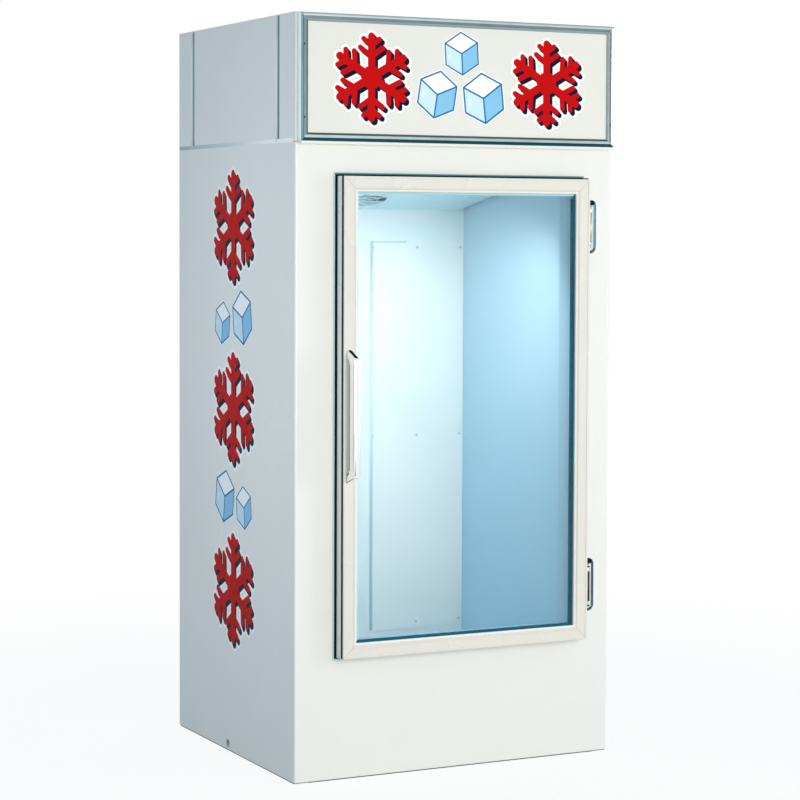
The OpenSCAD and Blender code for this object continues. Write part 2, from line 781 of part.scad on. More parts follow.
// The hermetic compressor: two pressed shells, a seam flange, a foot plate and a terminal cover
module compressor() {
    z = unit_z + comp_foot;
    dome_r = 1.55 * comp_r;
    color([0.10, 0.10, 0.11]) {
        difference() {
            union() {
                translate([comp_x - 96, comp_y - 76, z]) cube([192, 152, 4]);
                intersection() {
                    translate([comp_x, comp_y, z]) cylinder(r = comp_r, h = comp_h);
                    translate([comp_x, comp_y, z + comp_h - dome_r]) sphere(r = dome_r);
                }
                translate([comp_x, comp_y, z + 92]) cylinder(r = comp_r + 4, h = 5);
                translate([comp_x - 26, comp_y - comp_r - 24, z + 34]) cube([52, 40, 54]);
            }
            for (p = comp_feet) translate([p.x, p.y, z - 5]) cylinder(r = 5 + run, h = 15);
        }
    }
}

// Rubber grommets with a bolt through each
module compressor_mounts() {
    color([0.08, 0.08, 0.08])
        for (p = comp_feet) translate([p.x, p.y, 0]) {
            translate([0, 0, unit_z]) cylinder(r = 12, h = comp_foot);
            translate([0, 0, unit_z - plate_t]) cylinder(r = 5, h = comp_foot + plate_t + 8);
            translate([0, 0, unit_z + comp_foot + 4]) cylinder(r = 9, h = 3);
        }
}

module condenser_coil() {
    color([0.55, 0.57, 0.58])
        translate([cond_x - cond_w / 2, cond_y, cond_z - cond_h / 2]) {
            finned_block(cond_w, cond_t, cond_h, 26, 6);
            for (x = [-1, cond_w - 1]) translate([x, 0, -8]) cube([2, cond_t, cond_h + 8]);
        }
}

// The shroud: a shallow box between coil and fan, with the fan's round mouth
module condenser_shroud() {
    x0 = cond_x - cond_w / 2;
    z0 = cond_z - cond_h / 2;
    y0 = cond_y - shroud_d;
    color([0.18, 0.19, 0.20])
        difference() {
            slab([x0, y0, z0 - 8], [x0 + cond_w, cond_y, z0 + cond_h]);
            slab([x0 + shroud_t, y0 + shroud_t, z0], [x0 + cond_w - shroud_t, cond_y + 1, z0 + cond_h - shroud_t]);
            translate([cond_x, y0 - 1, fan_z]) rotate([-90, 0, 0]) cylinder(r = cond_fan_r + 6, h = 6);
        }
}

fan_hub_h = 24;
cond_motor_y = cond_fan_y - fan_hub_h - 6; // rear face of the condenser fan motor

// The motor on a post that stands on the unit base
module condenser_fan_motor() {
    h = 62;
    color([0.16, 0.17, 0.18])
        difference() {
            union() {
                translate([cond_x, cond_motor_y - h, fan_z]) rotate([-90, 0, 0]) cylinder(r = 42, h = h);
                slab([cond_x - 15, cond_motor_y - h + 10, unit_z], [cond_x + 15, cond_motor_y - h + 40, fan_z]);
                slab([cond_x - 45, cond_motor_y - h, unit_z], [cond_x + 45, cond_motor_y - h + 50, unit_z + 4]);
            }
            translate([cond_x, cond_motor_y - 30, fan_z]) rotate([-90, 0, 0]) cylinder(r = shaft_r + run, h = 40);
        }
}

module condenser_fan_blade() {
    color([0.75, 0.77, 0.78]) {
        translate([cond_x, cond_fan_y, fan_z]) rotate([90, 0, 0]) fan_wheel(cond_fan_r, 24, 4, 26, 2, fan_hub_h);
        translate([cond_x, cond_motor_y - 28, fan_z]) rotate([-90, 0, 0]) cylinder(r = shaft_r, h = 38);
    }
}

// Discharge line, liquid line with its drier, and the insulated suction line down to the evaporator
module refrigerant_lines() {
    $fn = 20;
    z = unit_z + comp_foot;
    top = cond_z + cond_h / 2 * 5 / 6;
    low = cond_z - cond_h / 2 * 5 / 6;
    end_x = cond_x + cond_w / 2 + 6;
    cy = cond_y + cond_t / 2;
    out = sqrt(pow(comp_r, 2) - pow(30 - 4, 2)) + fit; // where the discharge line leaves the shell
    color([0.72, 0.45, 0.30]) {
        pipe([[comp_x + 30, comp_y + out, z + 110], [comp_x + 30, comp_y + comp_r + 30, z + 110],
              [comp_x + 30, comp_y + comp_r + 30, top], [comp_x + 30, cy, top], [end_x + 0.2, cy, top]], 4);
        pipe([[end_x + 0.2, cy, low], [end_x + 40, cy, low], [end_x + 40, cy - 70, low]], 3);
        translate([end_x + 40, cy - 70, low]) rotate([90, 0, 0]) cylinder(r = 11, h = 90);
        pipe([[end_x + 40, cy - 160, low], [end_x + 40, cy - 172, low], [end_x + 40, cy - 172, unit_z + fit]], 3);
        pipe([[line_x, line_y, ceil_z - 4], [line_x, line_y, coil_tube_z], [line_x, coil_tube_y, coil_tube_z],
              [-coil_end_x - fit, coil_tube_y, coil_tube_z]], 4.5);
    }
    color([0.12, 0.12, 0.13])
        pipe([[comp_x - 20, comp_y - comp_r - fit, z + 130], [comp_x - 20, comp_y - comp_r - 40, z + 130],
              [line_x, comp_y - comp_r - 40, z + 130], [line_x, line_y, z + 130],
              [line_x, line_y, ceil_z - 4]], line_r);
}

module control_box() {
    color([0.75, 0.77, 0.78])
        difference() {
            union() {
                slab([ctl_x - ctl_w / 2, ctl_y - 70, ctl_z - ctl_h / 2], [ctl_x + ctl_w / 2, ctl_y, ctl_z + ctl_h / 2]);
                slab([ctl_x - 28, ctl_y - 68, body_h], [ctl_x + 40, ctl_y - 60, ctl_z]);
            }
            slab([ctl_x - ctl_w / 2 + 2, ctl_y - 60, ctl_z - ctl_h / 2 + 2],
                 [ctl_x + ctl_w / 2 - 2, ctl_y - 2, ctl_z + ctl_h / 2 - 2]);
            translate([ctl_x, ctl_y - 5, knob_z]) rotate([-90, 0, 0]) cylinder(r = 3 + run, h = 10);
            slab([ctl_x - 8 - fit, ctl_y - 5, switch_z - 13 - fit], [ctl_x + 8 + fit, ctl_y + 5, switch_z + 13 + fit]);
        }
}

// The thermostat knob: a skirted dial with a raised grip and its spindle
module thermostat_knob() {
    color([0.10, 0.10, 0.11]) translate([ctl_x, ctl_y + fit, knob_z]) rotate([-90, 0, 0]) {
        cylinder(r = knob_r, h = 3);
        cylinder(r1 = knob_r * 0.8, r2 = knob_r * 0.72, h = knob_h);
        translate([-2.5, -knob_r * 0.72, knob_h - 1]) cube([5, knob_r * 1.44, 3]);
        translate([0, 0, -6]) cylinder(r = 3, h = 8);
    }
}

// The rocker, which turns on a line through the box's face
module power_switch() {
    color([0.55, 0.06, 0.06]) translate([ctl_x, ctl_y, switch_z]) rotate([8, 0, 0])
        intersection() {
            translate([-7.5, -6, -11]) cube([15, 12, 22]);
            rotate([0, 90, 0]) cylinder(r = 11.5, h = 20, center = true);
        }
}

module cord_bushing() {
    color([0.07, 0.07, 0.08]) translate([bushing_x, rear_face, bushing_z]) rotate([-90, 0, 0])
        difference() {
            union() {
                translate([0, 0, -6]) cylinder(r = bushing_r + 2, h = 6 + rear_inset - fit);
                cylinder(r = bushing_r + 5, h = rear_inset - fit);
                translate([0, 0, -6]) cylinder(r = bushing_r + 4, h = 6 - sheet - fit);
            }
            translate([0, 0, -8]) cylinder(r = bushing_r - 3, h = 16);
        }
}

// ---- evaporator ----

// The tilted frame of the pan: its origin is the pan's middle, and +Z stands square on the pan
module on_pan() {
    translate(evap_mid) rotate([-evap_tilt, 0, 0]) children();
}

// Side outline of the housing in Y and Z: outside with no inset, inside with the sheet's thickness
module evap_profile(inset) {
    top = ceil_z + (inset > 0 ? overcut : 0);
    rise = inset / cos(evap_tilt);
    a = evap_y0 + inset;
    b = cav_y1 - inset;
    polygon([[a, top], [a, evap_pan(a) + rise], [b, evap_pan(b) + rise], [b, top]]);
}

// Height of the pan's lower face at a depth y
function evap_pan(y) = evap_pan_z + evap_slope * (cav_y1 - y) / evap_d;

// The housing: sloped drain pan with the fan's mouth, upright ends, and outlet slots at the front
module evaporator_housing() {
    g = 2;
    slots = 5;
    color([0.84, 0.88, 0.90])
        difference() {
            translate([-evap_x, 0, 0]) rotate([90, 0, 90]) linear_extrude(2 * evap_x) evap_profile(0);
            translate([-evap_x + evap_t, 0, 0]) rotate([90, 0, 90])
                linear_extrude(2 * evap_x - 2 * evap_t) evap_profile(evap_t);
            on_pan() translate([0, 0, -10]) cylinder(r = evap_fan_r + 4, h = 20);
            for (s = [-1, 1], i = [0:slots - 1])
                translate([s * (150 + i * 46) - 18, evap_y0 - g, ceil_z - 40]) cube([36, 3 * g, 22]);
            on_pan() for (p = evap_motor_feet) translate([p.x, p.y, -10]) cylinder(r = 2 + run, h = 20);
        }
    // the wire guard over the fan's mouth
    color([0.75, 0.77, 0.78]) on_pan() {
        for (r = [18, 38, 58, evap_fan_r + 6])
            translate([0, 0, -1.5]) rotate_extrude() translate([r, 0]) circle(r = 1.6);
        for (a = [0:45:135]) rotate([0, 0, a]) translate([-evap_fan_r - 8, -1.2, -3.4]) cube([2 * evap_fan_r + 16, 2.4, 2.4]);
    }
}

evap_motor_feet = [for (a = [30, 150, 270]) [(evap_fan_r + 14) * cos(a), (evap_fan_r + 14) * sin(a)]];

coil_x0 = evap_fan_r + 58;
coil_w = evap_x - 37 - coil_x0;
coil_d = evap_d - 50;
coil_h = evap_drop - evap_slope - 12;
coil_end_x = coil_x0 + coil_w + 6;
coil_tube_y = evap_y0 + 25 + coil_d / 2;
coil_tube_z = ceil_z - coil_h / 4;

// Two finned blocks under the ceiling, one on each side of the fan
module evaporator_coil() {
    color([0.62, 0.64, 0.65])
        for (s = [0, 1]) mirror([s, 0, 0])
            translate([coil_x0, evap_y0 + 25, ceil_z - coil_h]) finned_block(coil_w, coil_d, coil_h, 16, 2);
}

evap_hub_z = 4; // gap from the pan to the fan wheel
evap_hub_h = 20;

// The motor on a three-armed spider that stands on the pan
module evaporator_fan_motor() {
    z = evap_hub_z + evap_hub_h + 6;
    h = 36;
    color([0.18, 0.19, 0.20])
        on_pan() difference() {
            union() {
                translate([0, 0, z]) cylinder(r = 32, h = h);
                for (p = evap_motor_feet) {
                    a = atan2(p.y, p.x);
                    rotate([0, 0, a]) translate([20, -4, z]) cube([evap_fan_r - 2, 8, 3]);
                    translate([p.x, p.y, evap_t + fit]) cylinder(r = 4, h = z - evap_t);
                }
            }
            translate([0, 0, z - 1]) cylinder(r = shaft_r + run, h = 22);
        }
}

module evaporator_fan_blade() {
    color([0.75, 0.77, 0.78]) on_pan() {
        translate([0, 0, evap_hub_z]) fan_wheel(evap_fan_r, 18, 4, 22, 1.6, evap_hub_h);
        translate([0, 0, evap_hub_z]) cylinder(r = shaft_r, h = evap_hub_h + 22);
    }
}

// The tubular lamp behind the front wall, under the cavity's ceiling
module cavity_lamp() {
    y = cav_y0 + 26;
    color([0.95, 0.97, 0.98]) {
        slab([-cavity_lamp_len / 2 - 15, y - 20, ceil_z - 10], [cavity_lamp_len / 2 + 15, y + 20, ceil_z]);
        translate([-cavity_lamp_len / 2, y, ceil_z - 20]) rotate([0, 90, 0]) cylinder(r = 13, h = cavity_lamp_len);
        for (x = [-cavity_lamp_len / 2 - 12, cavity_lamp_len / 2])
            slab([x, y - 15, ceil_z - 35], [x + 12, y + 15, ceil_z - 9]);
    }
}

// ---- door ----

// Section of the door's frame: x = depth behind the front face, y = distance in from the outer edge
module door_section() {
    g = edge_groove;
    gd = edge_groove_d;
    r0 = rebate - fit;
    back0 = glass_back + glass_t + 2 * fit;
    difference() {
        polygon([
            [1, 0], [0, 1], [0, lip_w - 0.4], [band_in, lip_w], [band_in, rail_w - 11], [0.5, rail_w - 10],
            [0.5, rail_w - 8], [7, rail_w], [glass_back, rail_w], [glass_back, r0], [back0, r0],
            [back0, rail_w - 2], [door_t, rail_w - 2], [door_t, 0], [g[1], 0], [g[1], gd], [g[0], gd], [g[0], 0]
        ]);
        translate([g[1] + 2.5, 2.5]) square([door_t - g[1] - 5, rebate - 5.5]);
    }
}

module door_rail(side) {
    translate([0, door_y, 0]) mitred_side(side, door_x0, door_x1, door_z0, door_z1, rail_w, door_t)
        door_section();
}

// The mitred frame: two stiles and two rails, butted at their mitres
module door_frame_rails() {
    color([0.90, 0.90, 0.86])
        for (side = ["top", "bottom", "left", "right"]) door_rail(side);
}

// The dark insert in the frame's edge groove, in four mitred strips
module door_edge_insert() {
    g = edge_groove;
    color([0.05, 0.07, 0.08]) {
        for (side = ["top", "bottom", "left", "right"])
            translate([0, door_y, 0])
                mitred_side(side, door_x0, door_x1, door_z0, door_z1, edge_groove_d, door_t)
                    translate([g[0], 0.8]) square([g[1] - g[0], edge_groove_d - 0.8]);
        slab([door_x0 + edge_groove_d, door_y + g[0], door_z1 - edge_groove_d + fit],
             [door_x1 - edge_groove_d, door_y + g[1], door_z1 + insert_proud]);
    }
}

module pane(y) {
    slab([door_x0 + rebate, y, door_z0 + rebate], [door_x1 - rebate, y + pane_t, door_z1 - rebate]);
}

module door_glass_front() {
    color([0.75, 0.88, 0.92, 0.35]) pane(door_y + glass_back + fit);
}

module door_glass_inner() {
    color([0.75, 0.88, 0.92, 0.35]) pane(door_y + glass_back + fit + pane_t + pane_gap);
}

module glass_spacer() {
    y = door_y + glass_back + fit + pane_t;
    color([0.05, 0.06, 0.07])
        ring_xz(door_x0 + rebate, door_x1 - rebate, door_z0 + rebate, door_z1 - rebate,
                glass_bite + spacer_show, y, y + pane_gap);
}

// The gasket: one welded ring with a bulb that meets the face trim
module door_gasket() {
    i = 3;
    w = seal_lap - i;
    color([0.06, 0.07, 0.08])
        translate([0, door_y + door_t, 0])
            for (side = ["top", "bottom", "left", "right"])
                mitred_side(side, door_x0 + i, door_x1 - i, door_z0 + i, door_z1 - i, w, gasket_t)
                    polygon([[0, 4], [0, w], [1.5, w], [2, w - 6], [gasket_t, w - 8], [gasket_t, 2],
                             [gasket_t - 1.5, 0], [gasket_t - 3, 2]]);
}

// The handle's side outline: x = distance out from the door, y = height
module handle_outline() {
    r = 9;
    out = handle_reach;
    top = handle_h;
    difference() {
        polygon(concat(
            [[0, 0]],
            [for (a = [-80:16:0]) [out - r + r * cos(a), 16 + r + r * sin(a)]],
            [for (a = [0:16:80]) [out - r + r * cos(a), top - 18 - r + r * sin(a)]],
            [[0, top]]
        ));
        translate([-1, handle_arm + r]) square([finger_gap + 1, top - 2 * handle_arm - 2 * r]);
        translate([-1, handle_arm]) square([finger_gap + 1 - r, top - 2 * handle_arm]);
        for (y = [handle_arm + r, top - handle_arm - r]) translate([finger_gap - r, y]) circle(r = r);
    }
}

module door_handle() {
    z0 = door_z0 + handle_up - handle_h / 2;
    color([0.80, 0.82, 0.83])
        translate([handle_x, door_y + band_in, z0]) rotate([90, 0, 90]) mirror([1, 0, 0])
            linear_extrude(handle_w) handle_outline();
}

// ---- hinges ----

module knuckle(z0, z1, r) {
    translate([pin_x, pin_y, z0]) cylinder(r = r, h = z1 - z0);
}

// The leaf on the door's edge, with the middle knuckle
module hinge_leaf(z) {
    half = knuckle_mid / 2;
    leaf_half = half + knuckle_end + knuckle_gap;
    difference() {
        union() {
            slab([door_x1, door_y + 5, z - leaf_half], [door_x1 + leaf_t, fy - 10, z + leaf_half]);
            slab([door_x1, pin_y - 3, z - half], [pin_x, pin_y + 3, z + half]);
            knuckle(z - half, z + half, knuckle_r);
        }
        knuckle(z - half - 1, z + half + 1, pin_r + run);
    }
    for (s = [-1, 1]) translate([door_x1 + leaf_t, pin_y - 6, z + s * leaf_screw_z]) rotate([0, 90, 0])
        cylinder(r1 = 4, r2 = 3, h = 1.2);
}

module hinge_leaves() {
    color([0.78, 0.80, 0.81]) for (z = hinge_zs) hinge_leaf(z);
}

// The plate's outline on the cabinet's face: straight beside the door, rounded outside
module hinge_plate_outline(w, h) {
    r = min(18, w - 4);
    translate([0, -h / 2]) square([w - r, h]);
    translate([0, -h / 2 + r]) square([w, h - 2 * r]);
    for (s = [-1, 1]) translate([w - r, s * (h / 2 - r)]) intersection() {
        circle(r = r);
        translate([0, -r]) square([r, 2 * r]);
    }
}

// The plate on the cabinet, with two knuckles, the fixed pin and its two screws
module hinge_plate(z) {
    half = knuckle_mid / 2;
    k0 = half + knuckle_gap;
    k1 = k0 + knuckle_end;
    translate([plate_x, fy, z]) rotate([90, 0, 0])
        linear_extrude(hinge_plate_t - 3) hinge_plate_outline(hinge_plate_w, hinge_h);
    translate([plate_x, fy, z]) rotate([90, 0, 0])
        linear_extrude(hinge_plate_t) hinge_plate_outline(hinge_plate_w - 3, hinge_h - 6);
    for (s = [[-k1, -k0], [k0, k1]]) {
        knuckle(z + s[0], z + s[1], knuckle_r);
        slab([pin_x - 4, pin_y, z + s[0]], [pin_x + 4, fy - hinge_plate_t + 1, z + s[1]]);
    }
    knuckle(z - k1 - pin_head_h, z + k1 + pin_head_h, pin_r);
    knuckle(z + k1, z + k1 + pin_head_h, knuckle_r - 1);
    knuckle(z - k1 - pin_head_h, z - k1, knuckle_r - 1);
    for (s = [-1, 1])
        translate([plate_x + hinge_plate_w / 2, fy - hinge_plate_t, z + s * plate_screw_z])
            pan_screw(5, 2.2, 2.5, hinge_plate_t);
}

module hinge_plates() {
    color([0.78, 0.80, 0.81]) for (z = hinge_zs) hinge_plate(z);
}

base_runners();
base_crossmembers();
base_pan();
outer_wrapper();
back_panel();
foam_sides();
foam_rear();
foam_floor();
foam_ceiling();
foam_front();
liner();
jamb_strips();
face_trim();
liner_rear_panel();
liner_screws();
floor_drain();
drain_pipe();
deck_panel();
hood_front_posts();
hood_rear_posts();
hood_side_left();
hood_side_right();
hood_top();
rear_grille();
rear_screws();
sign_rail_top();
sign_rail_bottom();
sign_rail_left();
sign_rail_right();
sign_panel();
sign_lamp_box();
sign_lamp();
sign_lamp_holders();
sign_screws();
unit_base();
compressor();
compressor_mounts();
condenser_coil();
condenser_shroud();
condenser_fan_motor();
condenser_fan_blade();
refrigerant_lines();
control_box();
thermostat_knob();
power_switch();
cord_bushing();
evaporator_housing();
evaporator_coil();
evaporator_fan_motor();
evaporator_fan_blade();
cavity_lamp();
door_frame_rails();
door_edge_insert();
door_glass_front();
door_glass_inner();
glass_spacer();
door_gasket();
door_handle();
hinge_leaves();
hinge_plates();
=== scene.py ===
# %% [markdown]
# # An ice merchandiser, dressed for its portrait
# The cabinet, door, hood and sign arrive as exact solids. This notebook adds what solids don't have: stove
# enamel, anodised rails, chrome, glass, lamps, printed vinyl and the small marks that make sheet steel
# real. Every length is in metres, and the floor is at z = 0 with the door facing -Y.

# %% Load the solids
import json
import math
import bmesh
import bpy
from mathutils import Matrix, Vector
from mathutils.geometry import delaunay_2d_cdt


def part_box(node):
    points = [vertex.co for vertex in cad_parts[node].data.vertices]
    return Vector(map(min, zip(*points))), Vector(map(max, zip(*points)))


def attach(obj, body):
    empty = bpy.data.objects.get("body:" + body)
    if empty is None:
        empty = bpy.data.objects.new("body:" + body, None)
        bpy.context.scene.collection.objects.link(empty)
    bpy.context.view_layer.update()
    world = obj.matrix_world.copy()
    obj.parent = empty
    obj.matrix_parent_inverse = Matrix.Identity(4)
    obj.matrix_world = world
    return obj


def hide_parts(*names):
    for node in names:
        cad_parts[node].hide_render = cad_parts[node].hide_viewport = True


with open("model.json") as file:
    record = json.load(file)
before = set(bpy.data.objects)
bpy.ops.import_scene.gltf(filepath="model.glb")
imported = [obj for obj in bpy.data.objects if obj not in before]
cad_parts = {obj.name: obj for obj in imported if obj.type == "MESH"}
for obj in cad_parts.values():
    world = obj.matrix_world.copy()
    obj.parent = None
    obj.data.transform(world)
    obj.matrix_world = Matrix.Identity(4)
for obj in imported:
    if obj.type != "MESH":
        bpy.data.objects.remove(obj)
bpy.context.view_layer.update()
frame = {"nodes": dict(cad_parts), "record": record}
nodes = frame["nodes"]

# %% [markdown]
# ## Where the camera stands
# The photograph was taken from the front left, a little above the middle of the door, with a long lens. A
# pose could be guessed and nudged, but a fit to the cabinet's straight edges gives it directly: eye,
# heading, tilt and lens. The slight shift stands for the picture having been cropped off-centre.

# %% Camera
PICTURE = 800
eye = Vector((-2.852, -5.7013, 1.3934))
heading = 0.46501
tilt = -0.04699
lean = 0.00385
lens_pixels = 2360
shift_pixels = -60

ahead = Vector((math.sin(heading) * math.cos(tilt), math.cos(heading) * math.cos(tilt), math.sin(tilt)))
level = Vector((math.cos(heading), -math.sin(heading), 0))
upright = level.cross(ahead)
across = level * math.cos(lean) + upright * math.sin(lean)
upward = upright * math.cos(lean) - level * math.sin(lean)
lens = bpy.data.cameras.new("portrait_lens")
lens.sensor_width = 36
lens.lens = lens_pixels / PICTURE * lens.sensor_width
lens.shift_y = shift_pixels / PICTURE
lens.clip_end = 60
camera = bpy.data.objects.new("portrait_camera", lens)
camera.matrix_world = Matrix((across, upward, -ahead)).transposed().to_4x4()
camera.location = eye
bpy.context.scene.collection.objects.link(camera)
bpy.context.scene.camera = camera
bpy.context.scene.view_settings.view_transform = "Standard"
print("lens", round(lens.lens, 1), "mm, shift", lens.shift_y)

# %% [markdown]
# ## A small kit for materials
# Each finish is a Principled shader with noise driving its colour, roughness and bump. Writing the wiring
# out each time would hide the recipe, so a few helpers carry it: wire fills a node's sockets, cloud turns a
# noise into a range of numbers, mixed blends two colours, and rough_skin lays a fine bump over softly
# rounded edges.

# %% Material helpers
def start_finish(name):
    finish = bpy.data.materials.new(name)
    finish.use_nodes = True
    tree = finish.node_tree
    return finish, tree, tree.nodes["Principled BSDF"]


def wire(tree, node, **inputs):
    for key, value in inputs.items():
        socket = node.inputs[key.replace("_", " ")]
        if isinstance(value, bpy.types.NodeSocket):
            tree.links.new(value, socket)
        else:
            socket.default_value = value
    return node


def add(tree, kind, **inputs):
    return wire(tree, tree.nodes.new(kind), **inputs)


def where(tree, stretch=(1, 1, 1)):
    place = add(tree, "ShaderNodeTexCoord").outputs["Object"]
    return add(tree, "ShaderNodeMapping", Vector=place, Scale=stretch).outputs["Vector"]


def ranged(tree, value, from_min, from_max, to_min=0.0, to_max=1.0):
    scaled = add(tree, "ShaderNodeMapRange", Value=value, From_Min=from_min, From_Max=from_max,
                 To_Min=to_min, To_Max=to_max)
    return scaled.outputs["Result"]


def cloud(tree, scale, low, high, detail=3.0, stretch=(1, 1, 1), sharp=0.0):
    noise = add(tree, "ShaderNodeTexNoise", Vector=where(tree, stretch), Scale=scale, Detail=detail)
    return ranged(tree, noise.outputs["Fac"], 0.25 + sharp, 0.75 - sharp, low, high)


def mixed(tree, share, first, second):
    blend = tree.nodes.new("ShaderNodeMix")
    blend.data_type = "RGBA"
    for socket, value in ((blend.inputs[0], share), (blend.inputs[6], first), (blend.inputs[7], second)):
        if isinstance(value, bpy.types.NodeSocket):
            tree.links.new(value, socket)
        else:
            socket.default_value = (*value, 1) if isinstance(value, tuple) else value
    return blend.outputs[2]


def calculated(tree, operation, *values):
    sum_node = add(tree, "ShaderNodeMath")
    sum_node.operation = operation
    for socket, value in zip(sum_node.inputs, values):
        tree.links.new(value, socket)
    return sum_node.outputs[0]


def height_above_floor(tree):
    return add(tree, "ShaderNodeSeparateXYZ", Vector=where(tree)).outputs["Z"]


def sideways_share(tree):
    facing = add(tree, "ShaderNodeNewGeometry").outputs["Normal"]
    return calculated(tree, "ABSOLUTE", add(tree, "ShaderNodeSeparateXYZ", Vector=facing).outputs["X"])


def rough_skin(tree, shader, height, strength, depth, edge=0.0006):
    rounded = add(tree, "ShaderNodeBevel", Radius=edge)
    rounded.samples = 4
    bump = add(tree, "ShaderNodeBump", Height=height, Strength=strength, Distance=depth,
               Normal=rounded.outputs["Normal"])
    wire(tree, shader, Normal=bump.outputs["Normal"])


def shade(colour, factor):
    return tuple(min(1.0, part * factor) for part in colour)

# %% [markdown]
# ## Stove enamel
# The cabinet, hood and door are sheet steel under baked white paint. Up close such paint has an orange-peel
# ripple, a gloss that wanders a little where it has been wiped, and a faint grey where hands and trolleys
# meet it. Noises of very different size give those, and the ripple stays shallow so that edges read crisp.

# %% Enamel finishes
def enamel(name, colour, gloss=0.30, ripple=0.10, soil=0.965, edge=0.0007):
    finish, tree, shader = start_finish(name)
    clean = mixed(tree, cloud(tree, 1.3, 0.0, 1.0, detail=2), colour, shade(colour, 0.985))
    smudge = cloud(tree, 14, 0.0, 0.35, detail=6, sharp=0.12)
    wire(tree, shader, Base_Color=mixed(tree, smudge, clean, shade(colour, soil)),
         Roughness=cloud(tree, 5, gloss - 0.04, gloss + 0.08, detail=5), Coat_Weight=0.15, Coat_Roughness=0.12)
    rough_skin(tree, shader, cloud(tree, 420, 0, 1, detail=2), ripple, 0.0002, edge)
    return finish


white_enamel = enamel("white_enamel", (0.79, 0.81, 0.785))
door_enamel = enamel("door_enamel", (0.73, 0.715, 0.665), gloss=0.24, ripple=0.05, edge=0.0005)
housing_enamel = enamel("housing_enamel", (0.66, 0.90, 0.97), gloss=0.35)
lamp_box_enamel = enamel("lamp_box_enamel", (0.85, 0.87, 0.87))
print("enamels:", white_enamel.name, door_enamel.name, housing_enamel.name, lamp_box_enamel.name)

# %% [markdown]
# ## The liner
# Inside, the liner is one white enamel. Its side sheets get a painted blue shade, as they are seen at a
# grazing angle, while the rear sheet stays nearly white. Two paints would need the liner cut into sheets, and
# asking each face which way it points is simpler. The painted shade deepens towards the floor, away from the
# tube, so the height blends two blues.

# %% Liner finish
# Heights over which the painted shade on the side sheets lightens from foot to top
painted_shade_foot = 0.35
painted_shade_top = 1.35


def shaded_liner_finish(name, rear, low_sides, high_sides):
    finish, tree, shader = start_finish(name)
    high_share = ranged(tree, height_above_floor(tree), painted_shade_foot, painted_shade_top)
    sides = mixed(tree, high_share, low_sides, high_sides)
    paint = mixed(tree, sideways_share(tree), rear, sides)
    cloudy = mixed(tree, cloud(tree, 2.2, 0, 0.5, detail=4), paint, shade(high_sides, 0.94))
    wire(tree, shader, Base_Color=cloudy, Roughness=cloud(tree, 6, 0.28, 0.42, detail=4))
    rough_skin(tree, shader, cloud(tree, 300, 0, 1, detail=2), 0.08, 0.0002)
    return finish


liner_enamel = shaded_liner_finish("liner_enamel", (0.80, 0.89, 0.90), (0.31, 0.65, 0.84), (0.51, 0.73, 0.85))
rear_sheet_enamel = shaded_liner_finish("rear_sheet_enamel", (0.81, 0.88, 0.89), (0.58, 0.77, 0.86),
                                 (0.62, 0.77, 0.85))
print("liner finishes blend from", painted_shade_foot, "to", painted_shade_top, "m")

# %% [markdown]
# ## Metals
# Three kinds of metal show. Anodised rails frame the sign and carry a lengthwise grain, chrome makes the
# handle and hinges, and galvanised sheet with its crystal spangle closes the back. Grain is a noise
# stretched along the rail, and spangle is a Voronoi pattern, because zinc freezes in flat-sided patches.
# The rails' tints are painted reflections: their fronts mirror a darker part of the room than their flanks, so
# the faces that look sideways get a paler tint, and the bottom rail's front is painted lighter than the
# others.

# %% Metal finishes
along_x = (0.02, 1, 1)
along_z = (1, 1, 0.02)


def grained_metal(name, colour, rough, stretch=(1, 1, 1), grain=900, depth=0.00008, edge=0.0005):
    finish, tree, shader = start_finish(name)
    tint = mixed(tree, cloud(tree, 9, 0, 1, detail=5), colour, shade(colour, 0.90))
    wire(tree, shader, Metallic=1.0, Base_Color=tint,
         Roughness=cloud(tree, 30, rough * 0.8, rough * 1.3, detail=6))
    rough_skin(tree, shader, cloud(tree, grain, 0, 1, detail=2, stretch=stretch), 0.35, depth, edge)
    return finish


def rail_finish(name, front, flank, stretch):
    finish = grained_metal(name, front, 0.36, stretch=stretch)
    tree = finish.node_tree
    shader = tree.nodes["Principled BSDF"]
    tint = shader.inputs["Base Color"].links[0].from_socket
    wire(tree, shader, Base_Color=mixed(tree, sideways_share(tree), tint, flank))
    return finish


def galvanised(name, colour):
    finish, tree, shader = start_finish(name)
    crystals = add(tree, "ShaderNodeTexVoronoi", Vector=where(tree), Scale=90.0)
    patch = add(tree, "ShaderNodeSeparateColor", Color=crystals.outputs["Color"])
    wire(tree, shader, Metallic=0.9, Base_Color=mixed(tree, patch.outputs[0], colour, shade(colour, 0.78)),
         Roughness=ranged(tree, patch.outputs[1], 0.0, 1.0, 0.32, 0.52))
    rough_skin(tree, shader, crystals.outputs["Distance"], 0.1, 0.0002)
    return finish


rail_front = (0.13, 0.18, 0.205)
rail_flank = (0.66, 0.78, 0.84)
rail_aluminium = rail_finish("rail_aluminium", rail_front, rail_flank, along_x)
stile_aluminium = rail_finish("stile_aluminium", rail_front, rail_flank, along_z)
foot_aluminium = rail_finish("foot_aluminium", (0.30, 0.37, 0.38), rail_flank, along_x)
chrome = grained_metal("chrome", (0.95, 0.96, 0.95), 0.07, grain=240, depth=0.00002, edge=0.0009)
hinge_chrome = grained_metal("hinge_chrome", (0.74, 0.77, 0.78), 0.14, grain=320, depth=0.00003, edge=0.0008)
